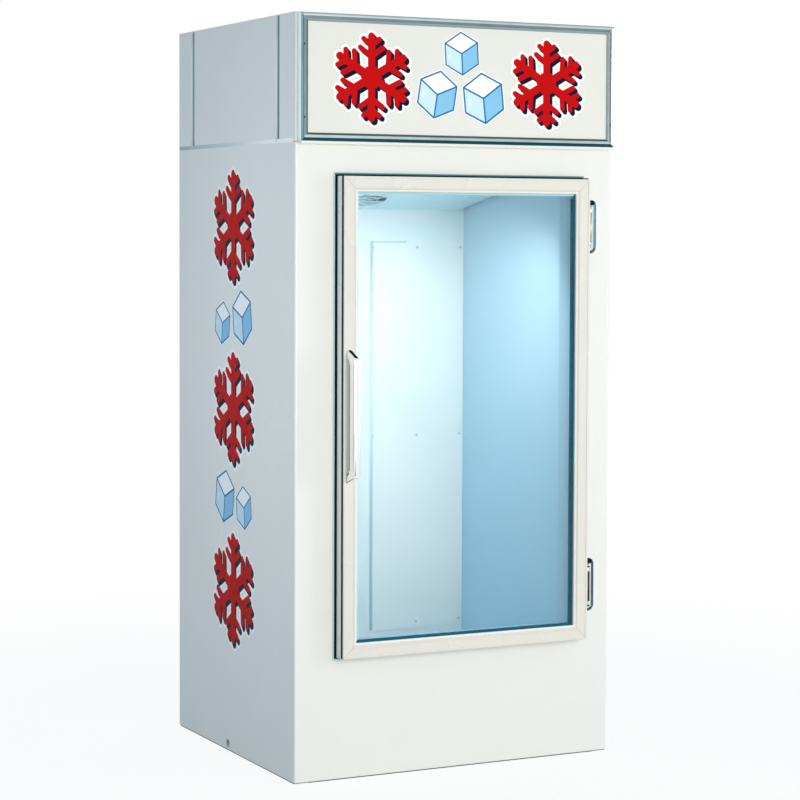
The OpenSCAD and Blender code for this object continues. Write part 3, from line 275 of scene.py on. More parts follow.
# Dark metal for the sign screws; on the hinge edges and under the handle's foot it is painted reflection and
# shade
dark_metal_and_painted_shade = grained_metal("dark_metal_and_painted_shade", (0.045, 0.105, 0.13), 0.22, grain=320, depth=0.00002)
teal_lip = grained_metal("teal_lip", (0.007, 0.050, 0.068), 0.40, stretch=along_x)
grey_lip = grained_metal("grey_lip", (0.075, 0.140, 0.150), 0.38, stretch=along_x)
soft_lip = grained_metal("soft_lip", (0.34, 0.43, 0.46), 0.40, stretch=along_x)
pale_lip = grained_metal("pale_lip", (0.62, 0.68, 0.67), 0.34, stretch=along_z)
blade_aluminium = grained_metal("blade_aluminium", (0.72, 0.74, 0.75), 0.38)
pale_blade = grained_metal("pale_blade", (0.52, 0.68, 0.76), 0.5)
fin_aluminium = grained_metal("fin_aluminium", (0.60, 0.62, 0.63), 0.45, grain=1400)
zinc_steel = grained_metal("zinc_steel", (0.68, 0.70, 0.70), 0.30, grain=700)
copper_tube = grained_metal("copper_tube", (0.62, 0.33, 0.20), 0.33, grain=260)
galvanised_sheet = galvanised("galvanised_sheet", (0.60, 0.63, 0.65))
print("metals from", rail_aluminium.name, "to", galvanised_sheet.name)

# %% [markdown]
# ## Plastics, rubber and dark paint
# The trim round the door is the darkest line in the picture, with a teal cast rather than pure black.
# Rubber and moulded plastic differ mostly in how rough they are, so one recipe makes them all.

# %% Moulded and rubber finishes
def moulded(name, colour, rough, bump=0.12, scale=600, lift=1.25, gloss=0.5):
    finish, tree, shader = start_finish(name)
    tint = mixed(tree, cloud(tree, 22, 0, 0.6, detail=5), colour, shade(colour, lift))
    wire(tree, shader, Base_Color=tint, Specular_IOR_Level=gloss,
         Roughness=cloud(tree, 45, rough - 0.06, rough + 0.08, detail=4))
    rough_skin(tree, shader, cloud(tree, scale, 0, 1, detail=2), bump, 0.0002, 0.0004)
    return finish


black_trim = moulded("black_trim", (0.001, 0.016, 0.022), 0.6, gloss=0.08)
cap_black = moulded("cap_black", (0.001, 0.002, 0.002), 0.62, bump=0.05, gloss=0.1)
# The skin lip is white skin with painted shade, bluish grey on three sides and darker teal along the top
skin_lip_painted_shade = moulded("skin_lip_painted_shade", (0.50, 0.66, 0.69), 0.4, lift=1.05)
shaded_lip = moulded("shaded_lip", (0.06, 0.26, 0.29), 0.5, lift=1.1, gloss=0.2)
gasket_vinyl = moulded("gasket_vinyl", (0.22, 0.40, 0.47), 0.5, lift=1.1)
grommet_rubber = moulded("grommet_rubber", (0.012, 0.012, 0.013), 0.72, bump=0.3)
# The jamb is white plastic; its blue here is painted shade, as it stands deep in the door's opening
jamb_plastic = moulded("jamb_plastic", (0.36, 0.60, 0.74), 0.35, lift=1.05)
# The door's edge is pale paint with painted light: grey shade, a tan reflection and a white highlight
edge_painted_shade = moulded("edge_painted_shade", (0.15, 0.155, 0.145), 0.5, lift=1.05, gloss=0.2)
edge_painted_tan_reflection = moulded("edge_painted_tan_reflection", (0.46, 0.46, 0.38), 0.45, lift=1.05)
edge_painted_highlight = moulded("edge_painted_highlight", (0.90, 0.90, 0.84), 0.30, lift=1.02)
drain_plastic = moulded("drain_plastic", (0.68, 0.70, 0.71), 0.38, lift=1.04)
holder_plastic = moulded("holder_plastic", (0.80, 0.80, 0.77), 0.42, lift=1.04)
knob_plastic = moulded("knob_plastic", (0.012, 0.012, 0.014), 0.35)
switch_plastic = moulded("switch_plastic", (0.42, 0.012, 0.012), 0.28, lift=1.1)
foam = moulded("foam", (0.80, 0.70, 0.44), 0.85, bump=0.8, scale=350, lift=1.08)
black_enamel = moulded("black_enamel", (0.016, 0.017, 0.018), 0.30, scale=420)
motor_enamel = moulded("motor_enamel", (0.045, 0.05, 0.055), 0.42, scale=420)
base_primer = moulded("base_primer", (0.10, 0.11, 0.12), 0.55, scale=380)
print("moulded finishes from", black_trim.name, "to", base_primer.name)

# %% [markdown]
# The spacer between the panes is bright metal with a dark sealant. Along the top it mirrors the lit ceiling
# and looks pale blue, and everywhere else it mirrors the dark groove. Its height decides which of the two
# it takes.

# %% Spacer finish
pale_band = 0.018
blend_height = 0.004


def spacer_finish(name, top, dark, darkest, pale):
    finish, tree, shader = start_finish(name)
    near_top = ranged(tree, height_above_floor(tree), top - pale_band - blend_height, top - pale_band)
    mottled = mixed(tree, cloud(tree, 40, 0, 1, detail=4), darkest, dark)
    wire(tree, shader, Base_Color=mixed(tree, near_top, mottled, pale),
         Roughness=cloud(tree, 30, 0.4, 0.55), Specular_IOR_Level=0.25)
    return finish


spacer_low, spacer_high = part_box("glass_spacer")
spacer_teal = spacer_finish("spacer_teal", spacer_high.z, (0.003, 0.150, 0.215), (0.002, 0.105, 0.165),
                            (0.26, 0.50, 0.60))
print("spacer from", round(spacer_low.z, 3), "to", round(spacer_high.z, 3))

# %% [markdown]
# ## Glass, opal sheet and lamps
# The door has two clear panes with a faint cyan tint. Real transmission is used, and the tint stays light
# because every ray crosses four surfaces. The sign's sheet is opal acrylic: white, a little glossy, with
# light wandering just under its surface. The lamps glow so that they read as switched on.

# %% Glass and light finishes
def clear_glass(name, tint):
    finish, tree, shader = start_finish(name)
    wire(tree, shader, Base_Color=(*tint, 1), Transmission_Weight=1.0, IOR=1.28,
         Roughness=cloud(tree, 3, 0.0, 0.015, detail=5))
    return finish


def opal(name, colour):
    finish, tree, shader = start_finish(name)
    wire(tree, shader, Base_Color=mixed(tree, cloud(tree, 1.8, 0, 1, detail=2), colour, shade(colour, 0.96)),
         Roughness=cloud(tree, 8, 0.16, 0.28, detail=4))
    rough_skin(tree, shader, cloud(tree, 160, 0, 1, detail=1), 0.03, 0.0002)
    return finish


def lamp_glow(name, colour, strength):
    finish, tree, shader = start_finish(name)
    wire(tree, shader, Base_Color=(*colour, 1), Roughness=cloud(tree, 12, 0.25, 0.4),
         Emission_Color=(*colour, 1), Emission_Strength=strength)
    return finish


door_glass = clear_glass("door_glass", (0.975, 0.992, 0.995))
opal_sheet = opal("opal_sheet", (0.77, 0.775, 0.73))
cavity_tube = lamp_glow("cavity_tube", (0.80, 0.95, 1.0), 1.2)
sign_tube = lamp_glow("sign_tube", (0.95, 0.97, 1.0), 0.4)
print("glass and lights:", door_glass.name, opal_sheet.name, cavity_tube.name, sign_tube.name)

# %% [markdown]
# ## Dress every solid
# The record says which finish each solid belongs to. A dictionary from that slot to the material keeps the
# choice in one place, and a few solids that share a slot but differ in grain or tint are named one by one.

# %% Assign finishes
finish_of_slot = {
    "base_steel": base_primer, "galvanised": galvanised_sheet, "white_skin": white_enamel, "foam": foam,
    "liner_white": liner_enamel, "jamb_plastic": jamb_plastic, "black_trim": black_trim,
    "screw_steel": zinc_steel, "drain_plastic": drain_plastic, "sign_aluminium": rail_aluminium,
    "sign_acrylic": opal_sheet, "lamp_box_white": lamp_box_enamel, "lamp_tube": cavity_tube,
    "holder_plastic": holder_plastic, "unit_paint": black_enamel, "compressor_paint": black_enamel,
    "grommet_rubber": grommet_rubber, "coil_metal": fin_aluminium, "motor_paint": motor_enamel,
    "blade_aluminium": blade_aluminium, "copper": copper_tube, "knob_plastic": knob_plastic,
    "switch_plastic": switch_plastic, "housing_metal": housing_enamel, "door_profile": door_enamel,
    "door_glass": door_glass, "spacer_black": spacer_teal, "gasket_rubber": gasket_vinyl,
    "handle_chrome": chrome, "hinge_chrome": hinge_chrome,
}
finish_of_node = {
    "sign_rail_left": stile_aluminium, "sign_rail_right": stile_aluminium, "sign_rail_bottom": foot_aluminium,
    "sign_screws": dark_metal_and_painted_shade, "sign_lamp": sign_tube,
    "liner_rear_panel": rear_sheet_enamel, "evaporator_fan_blade": pale_blade,
    "evaporator_fan_motor": pale_blade,
}
for part in frame["record"]["subparts"]:
    solid = nodes[part["node"]]
    finish = finish_of_node.get(part["node"], finish_of_slot[part["material_slot"]])
    for spot in solid.material_slots:
        spot.material = finish
    if not solid.material_slots:
        solid.data.materials.append(finish)

# %% [markdown]
# ## Adding pieces
# Every added piece is a mesh in metres that rides on one of the moving bodies and carries its finishes. One
# helper does all three, so that no piece is forgotten when the door swings. The others turn a drawn shape
# into a mesh and roll over its edges.

# %% Piece helper
def add_piece(name, mesh, finishes, body):
    piece = bpy.data.objects.new(name, mesh)
    bpy.context.scene.collection.objects.link(piece)
    for finish in finishes:
        mesh.materials.append(finish)
    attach(piece, body)
    return piece


def mesh_of(name, shape):
    mesh = bpy.data.meshes.new(name)
    shape.to_mesh(mesh)
    shape.free()
    return mesh


def soften(piece, width, segments=3):
    for face in piece.data.polygons:
        face.use_smooth = True
    bevel = piece.modifiers.new("soft_edges", "BEVEL")
    bevel.width = width
    bevel.segments = segments
    bevel.limit_method = "ANGLE"
    bevel.angle_limit = math.radians(25)
    bevel.harden_normals = True
    return piece

# %% [markdown]
# ## The pull handle
# The real handle is one casting: two sloping feet and a deep grip, plated bright. A box would miss what
# makes chrome readable, which is the way its rounded edges gather dark and light lines. So the side outline
# is drawn with its arcs, extruded across, and its edges are rolled over with a bevel.

# %% Pull handle
def arc(centre, radius, start, end, steps=6):
    turns = [math.radians(start + (end - start) * step / steps) for step in range(steps + 1)]
    return [(centre[0] + radius * math.cos(turn), centre[1] + radius * math.sin(turn)) for turn in turns]


def extrude_outline(name, outline, depth, to_world):
    shape = bmesh.new()
    front = [shape.verts.new(to_world(u, v, 0)) for u, v in outline]
    back = [shape.verts.new(to_world(u, v, depth)) for u, v in outline]
    shape.faces.new(front)
    shape.faces.new(list(reversed(back)))
    for spot in range(len(outline)):
        after = (spot + 1) % len(outline)
        shape.faces.new((front[after], front[spot], back[spot], back[after]))
    bmesh.ops.recalc_face_normals(shape, faces=shape.faces)
    return mesh_of(name, shape)


grip_low, grip_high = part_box("door_handle")
reach = grip_high.y - grip_low.y
tall = grip_high.z - grip_low.z
wide = grip_high.x - grip_low.x
foot = 0.025
foot_slope = 0.016
head_slope = 0.018
finger_gap = 0.015
round_in = 0.009
edge_roll = 0.0045
grip_outline = [(0, 0)]
grip_outline += arc((reach - round_in, foot_slope + round_in), round_in, -80, 0)
grip_outline += arc((reach - round_in, tall - head_slope - round_in), round_in, 0, 80)
grip_outline += [(0, tall), (0, tall - foot)]
grip_outline += arc((finger_gap - round_in, tall - foot - round_in), round_in, 90, 0)
grip_outline += arc((finger_gap - round_in, foot + round_in), round_in, 0, -90)
grip_outline += [(0, foot)]


def on_door(u, v, aside):
    return (grip_low.x + aside, grip_high.y - u, grip_low.z + v)


grip_mesh = extrude_outline("pull_handle", grip_outline, wide, on_door)
grip = add_piece("pull_handle", grip_mesh, [chrome], "door")
soften(grip, edge_roll, 5)
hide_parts("door_handle")
print("handle", round(tall, 3), "tall,", round(reach, 3), "deep")

# %% [markdown]
# The upper foot carries a slim black cap on its slope, which hides the screw that holds the foot to the
# rail. It is a thin plate that follows the slope, half as wide as the casting.

# %% Handle cap
cap_start = 0.004
cap_drop = 0.0165
cap_thick_top = 0.0015
cap_thick_foot = 0.002
cap_end = reach - round_in
cap_outline = [(cap_start, tall - cap_thick_top), (cap_end, tall - cap_drop - cap_thick_foot),
               (cap_end, tall - cap_drop), (cap_start, tall)]
cap_margin = 0.0045


def in_grip(u, v, aside):
    return on_door(u, v, aside + cap_margin)


cap_mesh = extrude_outline("handle_cap", cap_outline, wide - 2 * cap_margin, in_grip)
cap = add_piece("handle_cap", cap_mesh, [cap_black], "door")
soften(cap, 0.0005, 2)
print("handle cap", round(wide - 2 * cap_margin, 4), "wide")

# %% [markdown]
# ## Printed vinyl
# The header and both sides carry printed film in red, navy, white and blue, with plain frost flakes and ice
# cubes. A print could be an image, but flat shapes stay sharp at any distance. Every motif is a list of
# polygons with an ink number. It is cut into flat triangles, and each triangle takes the highest ink that
# covers it.

# %% Inks
paper_white = moulded("ink_white", (0.93, 0.95, 0.94), 0.3, bump=0.02, lift=1.02)
frost_red = moulded("ink_red", (0.53, 0.001, 0.002), 0.5, bump=0.02, lift=1.06, gloss=0.06)
deep_navy = moulded("ink_navy", (0.004, 0.003, 0.022), 0.5, bump=0.02, gloss=0.06)
line_blue = moulded("ink_line_blue", (0.015, 0.16, 0.42), 0.5, bump=0.02, lift=1.06, gloss=0.06)
pale_ice = moulded("ink_pale_ice", (0.58, 0.80, 0.91), 0.4, bump=0.02, lift=1.04, gloss=0.2)
mid_ice = moulded("ink_mid_ice", (0.22, 0.53, 0.78), 0.4, bump=0.02, lift=1.06, gloss=0.2)
inks = [paper_white, deep_navy, frost_red, pale_ice, mid_ice, line_blue]
WHITE, NAVY, RED, PALE, MID, BLUE = range(len(inks))
print("inks:", [ink.name for ink in inks])

# %% [markdown]
# A frost flake is only straight bars round a hexagon: six arms, each with two pairs of side twigs. A bar is
# a rectangle with a round end. The navy block shadow is the same flake drawn again on its way down and to
# the right, and the white margin that a cutter leaves round vinyl is the same flake once more with fatter
# bars.

# %% Flake motif
def bar(start, end, half):
    along = (Vector(end) - Vector(start)).normalized()
    side = Vector((-along.y, along.x)) * half
    return [Vector(start) - side, Vector(end) - side, Vector(end) + side, Vector(start) + side]


def pointing(degrees, further=0):
    turn = math.radians(degrees) + math.radians(further)
    return Vector((math.cos(turn), math.sin(turn)))


def disc(centre, radius, corners=12):
    turns = [math.radians(360 * k / corners) for k in range(corners)]
    return [Vector((centre[0] + radius * math.cos(turn), centre[1] + radius * math.sin(turn)))
            for turn in turns]


hub = 0.27
arm_length = 0.91
arm_half = 0.09
twigs = ((0.47, 0.34), (0.72, 0.24))
twig_turn = 56
twig_half = 0.062
white_margin = 0.055


def flake_shapes(core, grow=0.0):
    shapes = [disc(core, hub + grow, 6)]
    for arm in range(6):
        arm_turn = 60 * arm + 30
        out = pointing(arm_turn)
        shapes.append(bar(core, core + out * arm_length, arm_half + grow))
        shapes.append(disc(core + out * arm_length, arm_half + grow))
        for root_share, twig in twigs:
            root = core + out * root_share
            for lean_side in (-1, 1):
                tip = root + pointing(arm_turn, lean_side * twig_turn) * twig
                shapes.append(bar(root, tip, twig_half + grow))
                shapes.append(disc(tip, twig_half + grow, 10))
    return shapes


def flake():
    core = Vector((0, 0))
    drop = Vector((0.075, -0.075))
    margins = flake_shapes(core, white_margin) + flake_shapes(drop, white_margin)
    shapes = [(outline, WHITE) for outline in margins]
    shapes += [(outline, NAVY) for outline in flake_shapes(drop) + flake_shapes(drop / 2)]
    shapes += [(outline, RED) for outline in flake_shapes(core)]
    return shapes


print("a flake is", len(flake()), "outlines")

# %% [markdown]
# An ice cube is drawn as such cubes are on any frost sign: three lozenges that meet in the middle, white on
# top and bluer to the right, with blue lines along the edges and a short glint.

# %% Cube motif
def cube():
    core = Vector((0, 0))
    ring = [pointing(60 * k + 30) for k in range(6)]
    margin = 1.09
    shapes = [([spot * margin for spot in ring], WHITE)]
    shapes.append(([core, ring[0], ring[1], ring[2]], WHITE))
    shapes.append(([core, ring[2], ring[3], ring[4]], PALE))
    shapes.append(([core, ring[4], ring[5], ring[0]], MID))
    line = 0.035
    for spot in range(6):
        shapes.append((bar(ring[spot], ring[(spot + 1) % 6], line), BLUE))
        shapes.append((disc(ring[spot], line, 8), BLUE))
    for spot in (0, 2, 4):
        shapes.append((bar(core, ring[spot], line), BLUE))
    glint_start = ring[3] * 0.62 + ring[2] * 0.16
    glint_end = ring[3] * 0.34 + ring[2] * 0.36
    shapes.append((bar(glint_start, glint_end, line * 1.1), WHITE))
    return shapes


print("a cube is", len(cube()), "outlines")

# %% [markdown]
# The cutter is Blender's own constrained triangulation, which cuts along every outline. Motifs are drawn a
# hundred times larger for it, because tiny numbers would merge corners that aren't the same. Each triangle
# then takes the ink of the last outline that holds its middle, and triangles that no outline covers are
# dropped. A motif is cut once, then placed as often as it is printed.

# %% Print cutter
def holds(outline, spot):
    across_of = [corner.x for corner in outline]
    if not min(across_of) <= spot.x <= max(across_of):
        return False
    turns = [(end.x - start.x) * (spot.y - start.y) - (end.y - start.y) * (spot.x - start.x)
             for start, end in zip(outline, outline[1:] + outline[:1])]
    return min(turns) >= 0 or max(turns) <= 0


def cut_motif(shapes, drawn_size=100):
    outlines = [([spot * drawn_size for spot in outline], ink) for outline, ink in shapes]
    spots, loops = [], []
    for outline, ink in outlines:
        loops.append(list(range(len(spots), len(spots) + len(outline))))
        spots += outline
    cut = delaunay_2d_cdt(spots, [], loops, 0, 1e-4, False)
    triangles = []
    for triangle in cut[2]:
        centre = (cut[0][triangle[0]] + cut[0][triangle[1]] + cut[0][triangle[2]]) / 3
        ink = next((ink for outline, ink in reversed(outlines) if holds(outline, centre)), None)
        if ink is not None:
            triangles.append((triangle, ink))
    return [spot / drawn_size for spot in cut[0]], triangles


def printed_sheet(name, placed, origin, right, up):
    corners, faces, inks_used = [], [], []
    for (spots, triangles), centre, size, lean_degrees in placed:
        turn = Matrix.Rotation(math.radians(lean_degrees), 2)
        first = len(corners)
        for spot in spots:
            flat = turn @ spot * size + Vector(centre)
            corners.append(origin + right * flat.x + up * flat.y)
        for triangle, ink in triangles:
            faces.append([first + corner for corner in triangle])
            inks_used.append(ink)
    mesh = bpy.data.meshes.new(name)
    mesh.from_pydata(corners, [], faces)
    for face, ink in zip(mesh.polygons, inks_used):
        face.material_index = ink
    mesh.update()
    return add_piece(name, mesh, inks, "cabinet")

# %% [markdown]
# The header is one row: a flake at each end and three cubes piled between them. The film lies a tenth of a
# millimetre in front of the opal sheet, so that the two surfaces never fight for the same place.

# %% Header print
flake_cut = cut_motif(flake())
cube_cut = cut_motif(cube())
film = 0.0001
to_right = Vector((1, 0, 0))
to_top = Vector((0, 0, 1))
panel_low, panel_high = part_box("sign_panel")
panel_mid = Vector(((panel_low.x + panel_high.x) / 2, panel_low.y - film, (panel_low.z + panel_high.z) / 2))
# Each print is a cut motif, its place from the middle, its size and its lean in degrees
header_motifs = [(flake_cut, (-0.256, 0.004), 0.112, 0), (flake_cut, (0.250, 0.004), 0.112, 0),
                 (cube_cut, (0.064, -0.040), 0.064, 6), (cube_cut, (-0.070, -0.034), 0.060, -9),
                 (cube_cut, (0.000, 0.072), 0.054, 3)]
header = printed_sheet("header_print", header_motifs, panel_mid, to_right, to_top)
print("header print:", len(header.data.polygons), "faces")

# %% [markdown]
# The sides carry a tall column of the same motifs, well behind the front edge. The two sides are mirror
# images in place, but the drop shadow falls to the viewer's right on both, as a printer would set it.

# %% Side prints
skin_low, skin_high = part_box("outer_wrapper")
column_back = 0.400
column = [(flake_cut, (0, height_up), 0.148, 0) for height_up in (1.400, 0.920, 0.440)]
column += [(cube_cut, (0.062, 1.160), 0.070, 8), (cube_cut, (-0.072, 1.142), 0.056, -7)]
column += [(cube_cut, (-0.056, 0.680), 0.070, -8), (cube_cut, (0.074, 0.662), 0.056, 7)]
for name, skin_x, right in (("left_print", skin_low.x - film, Vector((0, -1, 0))),
                            ("right_print", skin_high.x + film, Vector((0, 1, 0)))):
    origin = Vector((skin_x, skin_low.y + column_back, 0))
    side_print = printed_sheet(name, column, origin, right, to_top)
    print(name, len(side_print.data.polygons), "faces")

# %% [markdown]
# Behind the window at the back, the control box carries a plain printed scale: ten marks round the
# thermostat that grow towards cold, and the usual bar and ring beside the power switch. It is drawn in knob
# radii.

# %% Control scale
warm_end = 225
mark_step = 30
mark_start = 1.25
switch_drop = -4.375
surround_tall = 1.245
surround_wide = 0.85
bar_foot = 0.855
bar_head = 1.115
ring_drop = 0.985


def control_scale():
    shapes = []
    for step in range(10):
        out = pointing(warm_end - mark_step * step)
        mark_end = 1.42 + 0.03 * step
        shapes.append((bar(out * mark_start, out * mark_end, 0.03 + 0.008 * step), NAVY))
    surround = bar((0, switch_drop - surround_tall), (0, switch_drop + surround_tall), surround_wide)
    shapes.append((surround, WHITE))
    shapes.append((bar((0, switch_drop + bar_foot), (0, switch_drop + bar_head), 0.05), NAVY))
    for radius, ink in ((0.16, NAVY), (0.09, WHITE)):
        shapes.append((disc((0, switch_drop - ring_drop), radius), ink))
    return shapes


knob_low, knob_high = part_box("thermostat_knob")
knob_radius = (knob_high.x - knob_low.x) / 2
box_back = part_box("control_box")[1].y
knob_spot = Vector(((knob_low.x + knob_high.x) / 2, box_back + film, (knob_low.z + knob_high.z) / 2))
scale_motifs = [(cut_motif(control_scale()), (0, 0), knob_radius, 0)]
scale_print = printed_sheet("control_scale", scale_motifs, knob_spot, -to_right, to_top)
print("control scale:", len(scale_print.data.polygons), "faces round a knob of radius", round(knob_radius, 4))

# %% [markdown]
# ## Beads
# Painted shade, highlights and reflections, sealant, seams and small rounded edges all take one form: a narrow
# strip with a rounded back that follows a path. One helper sweeps half a circle along the path, and a small
# placing function says which flat face of the object the path is drawn on.

# %% Bead helper
def bead_along(name, path, half, rise, place, finish, body):
    section = [pointing(angle) for angle in range(0, 181, 20)]
    shape = bmesh.new()
    rows = []
    for spot in range(len(path)):
        before, after = path[max(spot - 1, 0)], path[min(spot + 1, len(path) - 1)]
        along = (Vector(after) - Vector(before)).normalized()
        side = Vector((-along.y, along.x)) * half
        rows.append([shape.verts.new(place(Vector(path[spot]) + side * c, rise * h)) for c, h in section])
    for first, second in zip(rows, rows[1:]):
        for low, high in zip(range(len(section) - 1), range(1, len(section))):
            shape.faces.new((first[low], first[high], second[high], second[low]))
    shape.faces.new(rows[0])
    shape.faces.new(list(reversed(rows[-1])))
    bmesh.ops.recalc_face_normals(shape, faces=shape.faces)
    mesh = mesh_of(name, shape)
    for face in mesh.polygons:
        face.use_smooth = len(face.vertices) == 4
    return add_piece(name, mesh, [finish], body)


print("a bead has", len(range(0, 181, 20)), "points across")

# %% [markdown]
# Where the access panel meets the liner, a bluish strip with a rounded back runs down its left edge and along
# part of its top: painted shade in the joint, standing proud as a soft bead rather than a flat line.

# %% Painted shade along the panel's joint
rear_low, rear_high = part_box("liner_rear_panel")
bead_half = 0.0045
bead_x = rear_low.x + bead_half
bead_z = rear_high.z - bead_half
side_bead = [(bead_x, rear_low.z + 0.004), (bead_x, rear_high.z - 0.002)]
top_bead = [(rear_low.x + 0.012, bead_z), (rear_low.x + 0.115, bead_z)]


def on_rear(spot, rise):
    return (spot.x, rear_low.y - rise, spot.y)


joint_painted_shade = moulded("joint_painted_shade", (0.56, 0.73, 0.82), 0.5, lift=1.05)
for name, path, half, rise in (("joint_painted_shade_side", side_bead, bead_half, 0.0025),
                               ("joint_painted_shade_top", top_bead, bead_half / 2, 0.0015)):
    bead_along(name, path, half, rise, on_rear, joint_painted_shade, "cabinet")
print("sealant at x", round(bead_x, 3))

# %% [markdown]
# ## Rings round a frame
# Frames are cut at 45 degrees and joined at their corners. A mitred ring is one section carried round a
# rectangle, with a finish for each side in the order bottom, right, top and left. Two flat corners and a
# front are enough to place it.

# %% Mitred ring helper
def flat_corners(low, high):
    return (low.x, low.z), (high.x, high.z)


# A section is a list of insets from the outer edge, each with its rise above the front
def mitred_ring(name, low, high, front, section, finishes, body, slot):
    shape = bmesh.new()
    loops = []
    for inset, rise in section:
        spots = [(low[0] + inset, low[1] + inset), (high[0] - inset, low[1] + inset),
                 (high[0] - inset, high[1] - inset), (low[0] + inset, high[1] - inset)]
        loops.append([shape.verts.new((x, front - rise, z)) for x, z in spots])
    for first, second in zip(loops, loops[1:]):
        for side in range(4):
            after = (side + 1) % 4
            face = shape.faces.new((first[side], first[after], second[after], second[side]))
            face.material_index = min(side, len(finishes) - 1)
    return add_piece(name, mesh_of(name, shape), finishes, body)


def lip_section(start, end, rise, sink=0.0004, steps=6):
    centre = (start + end) / 2
    half = (end - start) / 2
    turns = [math.pi * step / steps for step in range(steps + 1)]
    return [(centre - half * math.cos(turn), rise * math.sin(turn) - sink) for turn in turns]


print("a lip has", len(lip_section(0, 1, 1)), "points across")

# %% [markdown]
# The extruded rails of the sign have a rounded outer lip, a flat and a turned inner lip. Each lip mirrors
# another part of the room, so the four sides of one lip look different: the lower one sees the dark
# underside, the right one the white wall.

# %% Sign lips
left_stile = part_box("sign_rail_left")
right_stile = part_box("sign_rail_right")
sign_low = (left_stile[0].x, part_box("sign_rail_bottom")[0].z)
sign_high = (right_stile[1].x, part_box("sign_rail_top")[1].z)
sign_front = left_stile[0].y
outer_lip = lip_section(0.0006, 0.0082, 0.0012)
inner_lip = [(0.0145, -0.0012), (0.0150, -0.0002), (0.0165, -0.0012), (0.0203, -0.0046), (0.0203, -0.0070)]
for name, section, finishes in (("sign_outer_lip", outer_lip, [teal_lip, pale_lip, soft_lip, grey_lip]),
                                ("sign_inner_lip", inner_lip, [grey_lip, soft_lip, soft_lip, grey_lip])):
    mitred_ring(name, sign_low, sign_high, sign_front, section, finishes, "cabinet", "sign_aluminium")
print("sign frame", [round(v, 3) for v in (*sign_low, *sign_high)])

# %% [markdown]
# Under the frame a folded white sill closes the step back to the cabinet's face. It is a strip bent twice:
# down from the frame, then in to the skin.

# %% Sign sill
skin_front = skin_low.y
body_top = skin_high.z
sill_front = sign_front + 0.0012
sill_back = skin_front - 0.0002
sill_top = sign_low[1] - 0.0002
sill_drop = 0.0070
sill_fold = 0.0006
sill_margin = 0.0005
sill_wide = sign_high[0] - sign_low[0] - 2 * sill_margin
sill_section = [(sill_front, sill_top), (sill_front, sign_low[1] - sill_drop),
                (skin_front - sill_fold, body_top + sill_fold), (sill_back, body_top + sill_fold),
                (sill_back, sill_top)]


def under_sign(u, v, aside):
    return (sign_low[0] + sill_margin + aside, u, v)


sill_mesh = extrude_outline("sign_sill", sill_section, sill_wide, under_sign)
sill = add_piece("sign_sill", sill_mesh, [white_enamel], "cabinet")
soften(sill, 0.0006, 2)
print("sill from", round(body_top, 3), "to", round(sign_low[1], 3))

# %% [markdown]
# On each flank of the hood, two grooves part the side panel from its posts. A painted shade lies in their
# depth and a painted highlight on the edge behind, and a bead of pale sealant closes the seam between hood and
# body. All of them are the same kind of bead, laid on the left flank and mirrored to the right one.

# %% Hood seams
hood_low, hood_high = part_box("hood_front_posts")
panel_start, panel_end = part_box("hood_side_left")
groove_wide = 0.013
groove_deep = 0.003
groove_ends = (hood_low.z + 0.002, hood_high.z - 0.002)
edge_half = 0.0040
edge_offset = 0.0045
seam_half = 0.0052
seam_z = body_top + 0.0045
seam_path = [(skin_front + 0.012, seam_z), (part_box("rear_grille")[1].y, seam_z)]
groove_shade = moulded("groove_shade", (0.085, 0.19, 0.235), 0.5, lift=1.1, gloss=0.2)
edge_light = moulded("edge_light", (0.84, 0.92, 0.94), 0.35, lift=1.02)
seam_paint = moulded("seam_paint", (0.76, 0.80, 0.80), 0.85, bump=0.02, lift=1.02, gloss=0.05)


def on_flank_of_hood(turn_side, depth):
    def place(spot, rise):
        return (turn_side * (panel_start.x + depth - rise), spot.x, spot.y)
    return place


for side_name, turn_side in (("left", 1), ("right", -1)):
    on_hood = on_flank_of_hood(turn_side, 0)
    in_groove = on_flank_of_hood(turn_side, groove_deep)
    beads = []
    for place_name, groove_front in (("front", panel_start.y - groove_wide), ("rear", panel_end.y)):
        shade_path = [(groove_front + groove_wide / 2, end) for end in groove_ends]
        light_path = [(groove_front + groove_wide + edge_offset, end) for end in groove_ends]
        beads.append(("_groove_" + place_name, shade_path, groove_wide / 2 - 0.0005, 0.0004, in_groove,
                      groove_shade))
        beads.append(("_edge_" + place_name, light_path, edge_half, 0.0003, on_hood, edge_light))
    beads.append(("_hood_seam", seam_path, seam_half, 0.0001, on_hood, seam_paint))
    for bead_name, path, half, rise, place, finish in beads:
        bead_along(side_name + bead_name, path, half, rise, place, finish, "cabinet")
print("grooves from", round(hood_low.z, 3), "to", round(hood_high.z, 3))

# %% [markdown]
# The skin is turned outwards in a narrow lip round the door's dark trim, which draws a pale line outside
# the dark one. Its colour is the white skin in painted shade, darker teal along the top. It is the same ring
# with another section.

# %% Skin lip round the trim
trim_low, trim_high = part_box("face_trim")
mitred_ring("skin_lip_painted_shade", *flat_corners(trim_low, trim_high), trim_low.y, lip_section(-0.0004, 0.0036, 0.0010),
            [skin_lip_painted_shade, skin_lip_painted_shade, shaded_lip, skin_lip_painted_shade], "cabinet", "white_skin")
print("trim", round(trim_high.x - trim_low.x, 3), "by", round(trim_high.z - trim_low.z, 3))

# %% [markdown]
# The door's rails carry two such lines as well. Their outer edge is rolled over, painted grey as shade at the
# right and the bottom, where it faces away from the light, with a painted highlight on top and a painted tan
# reflection at the left. A glazing bead holds the front pane; its brightness is a painted highlight.

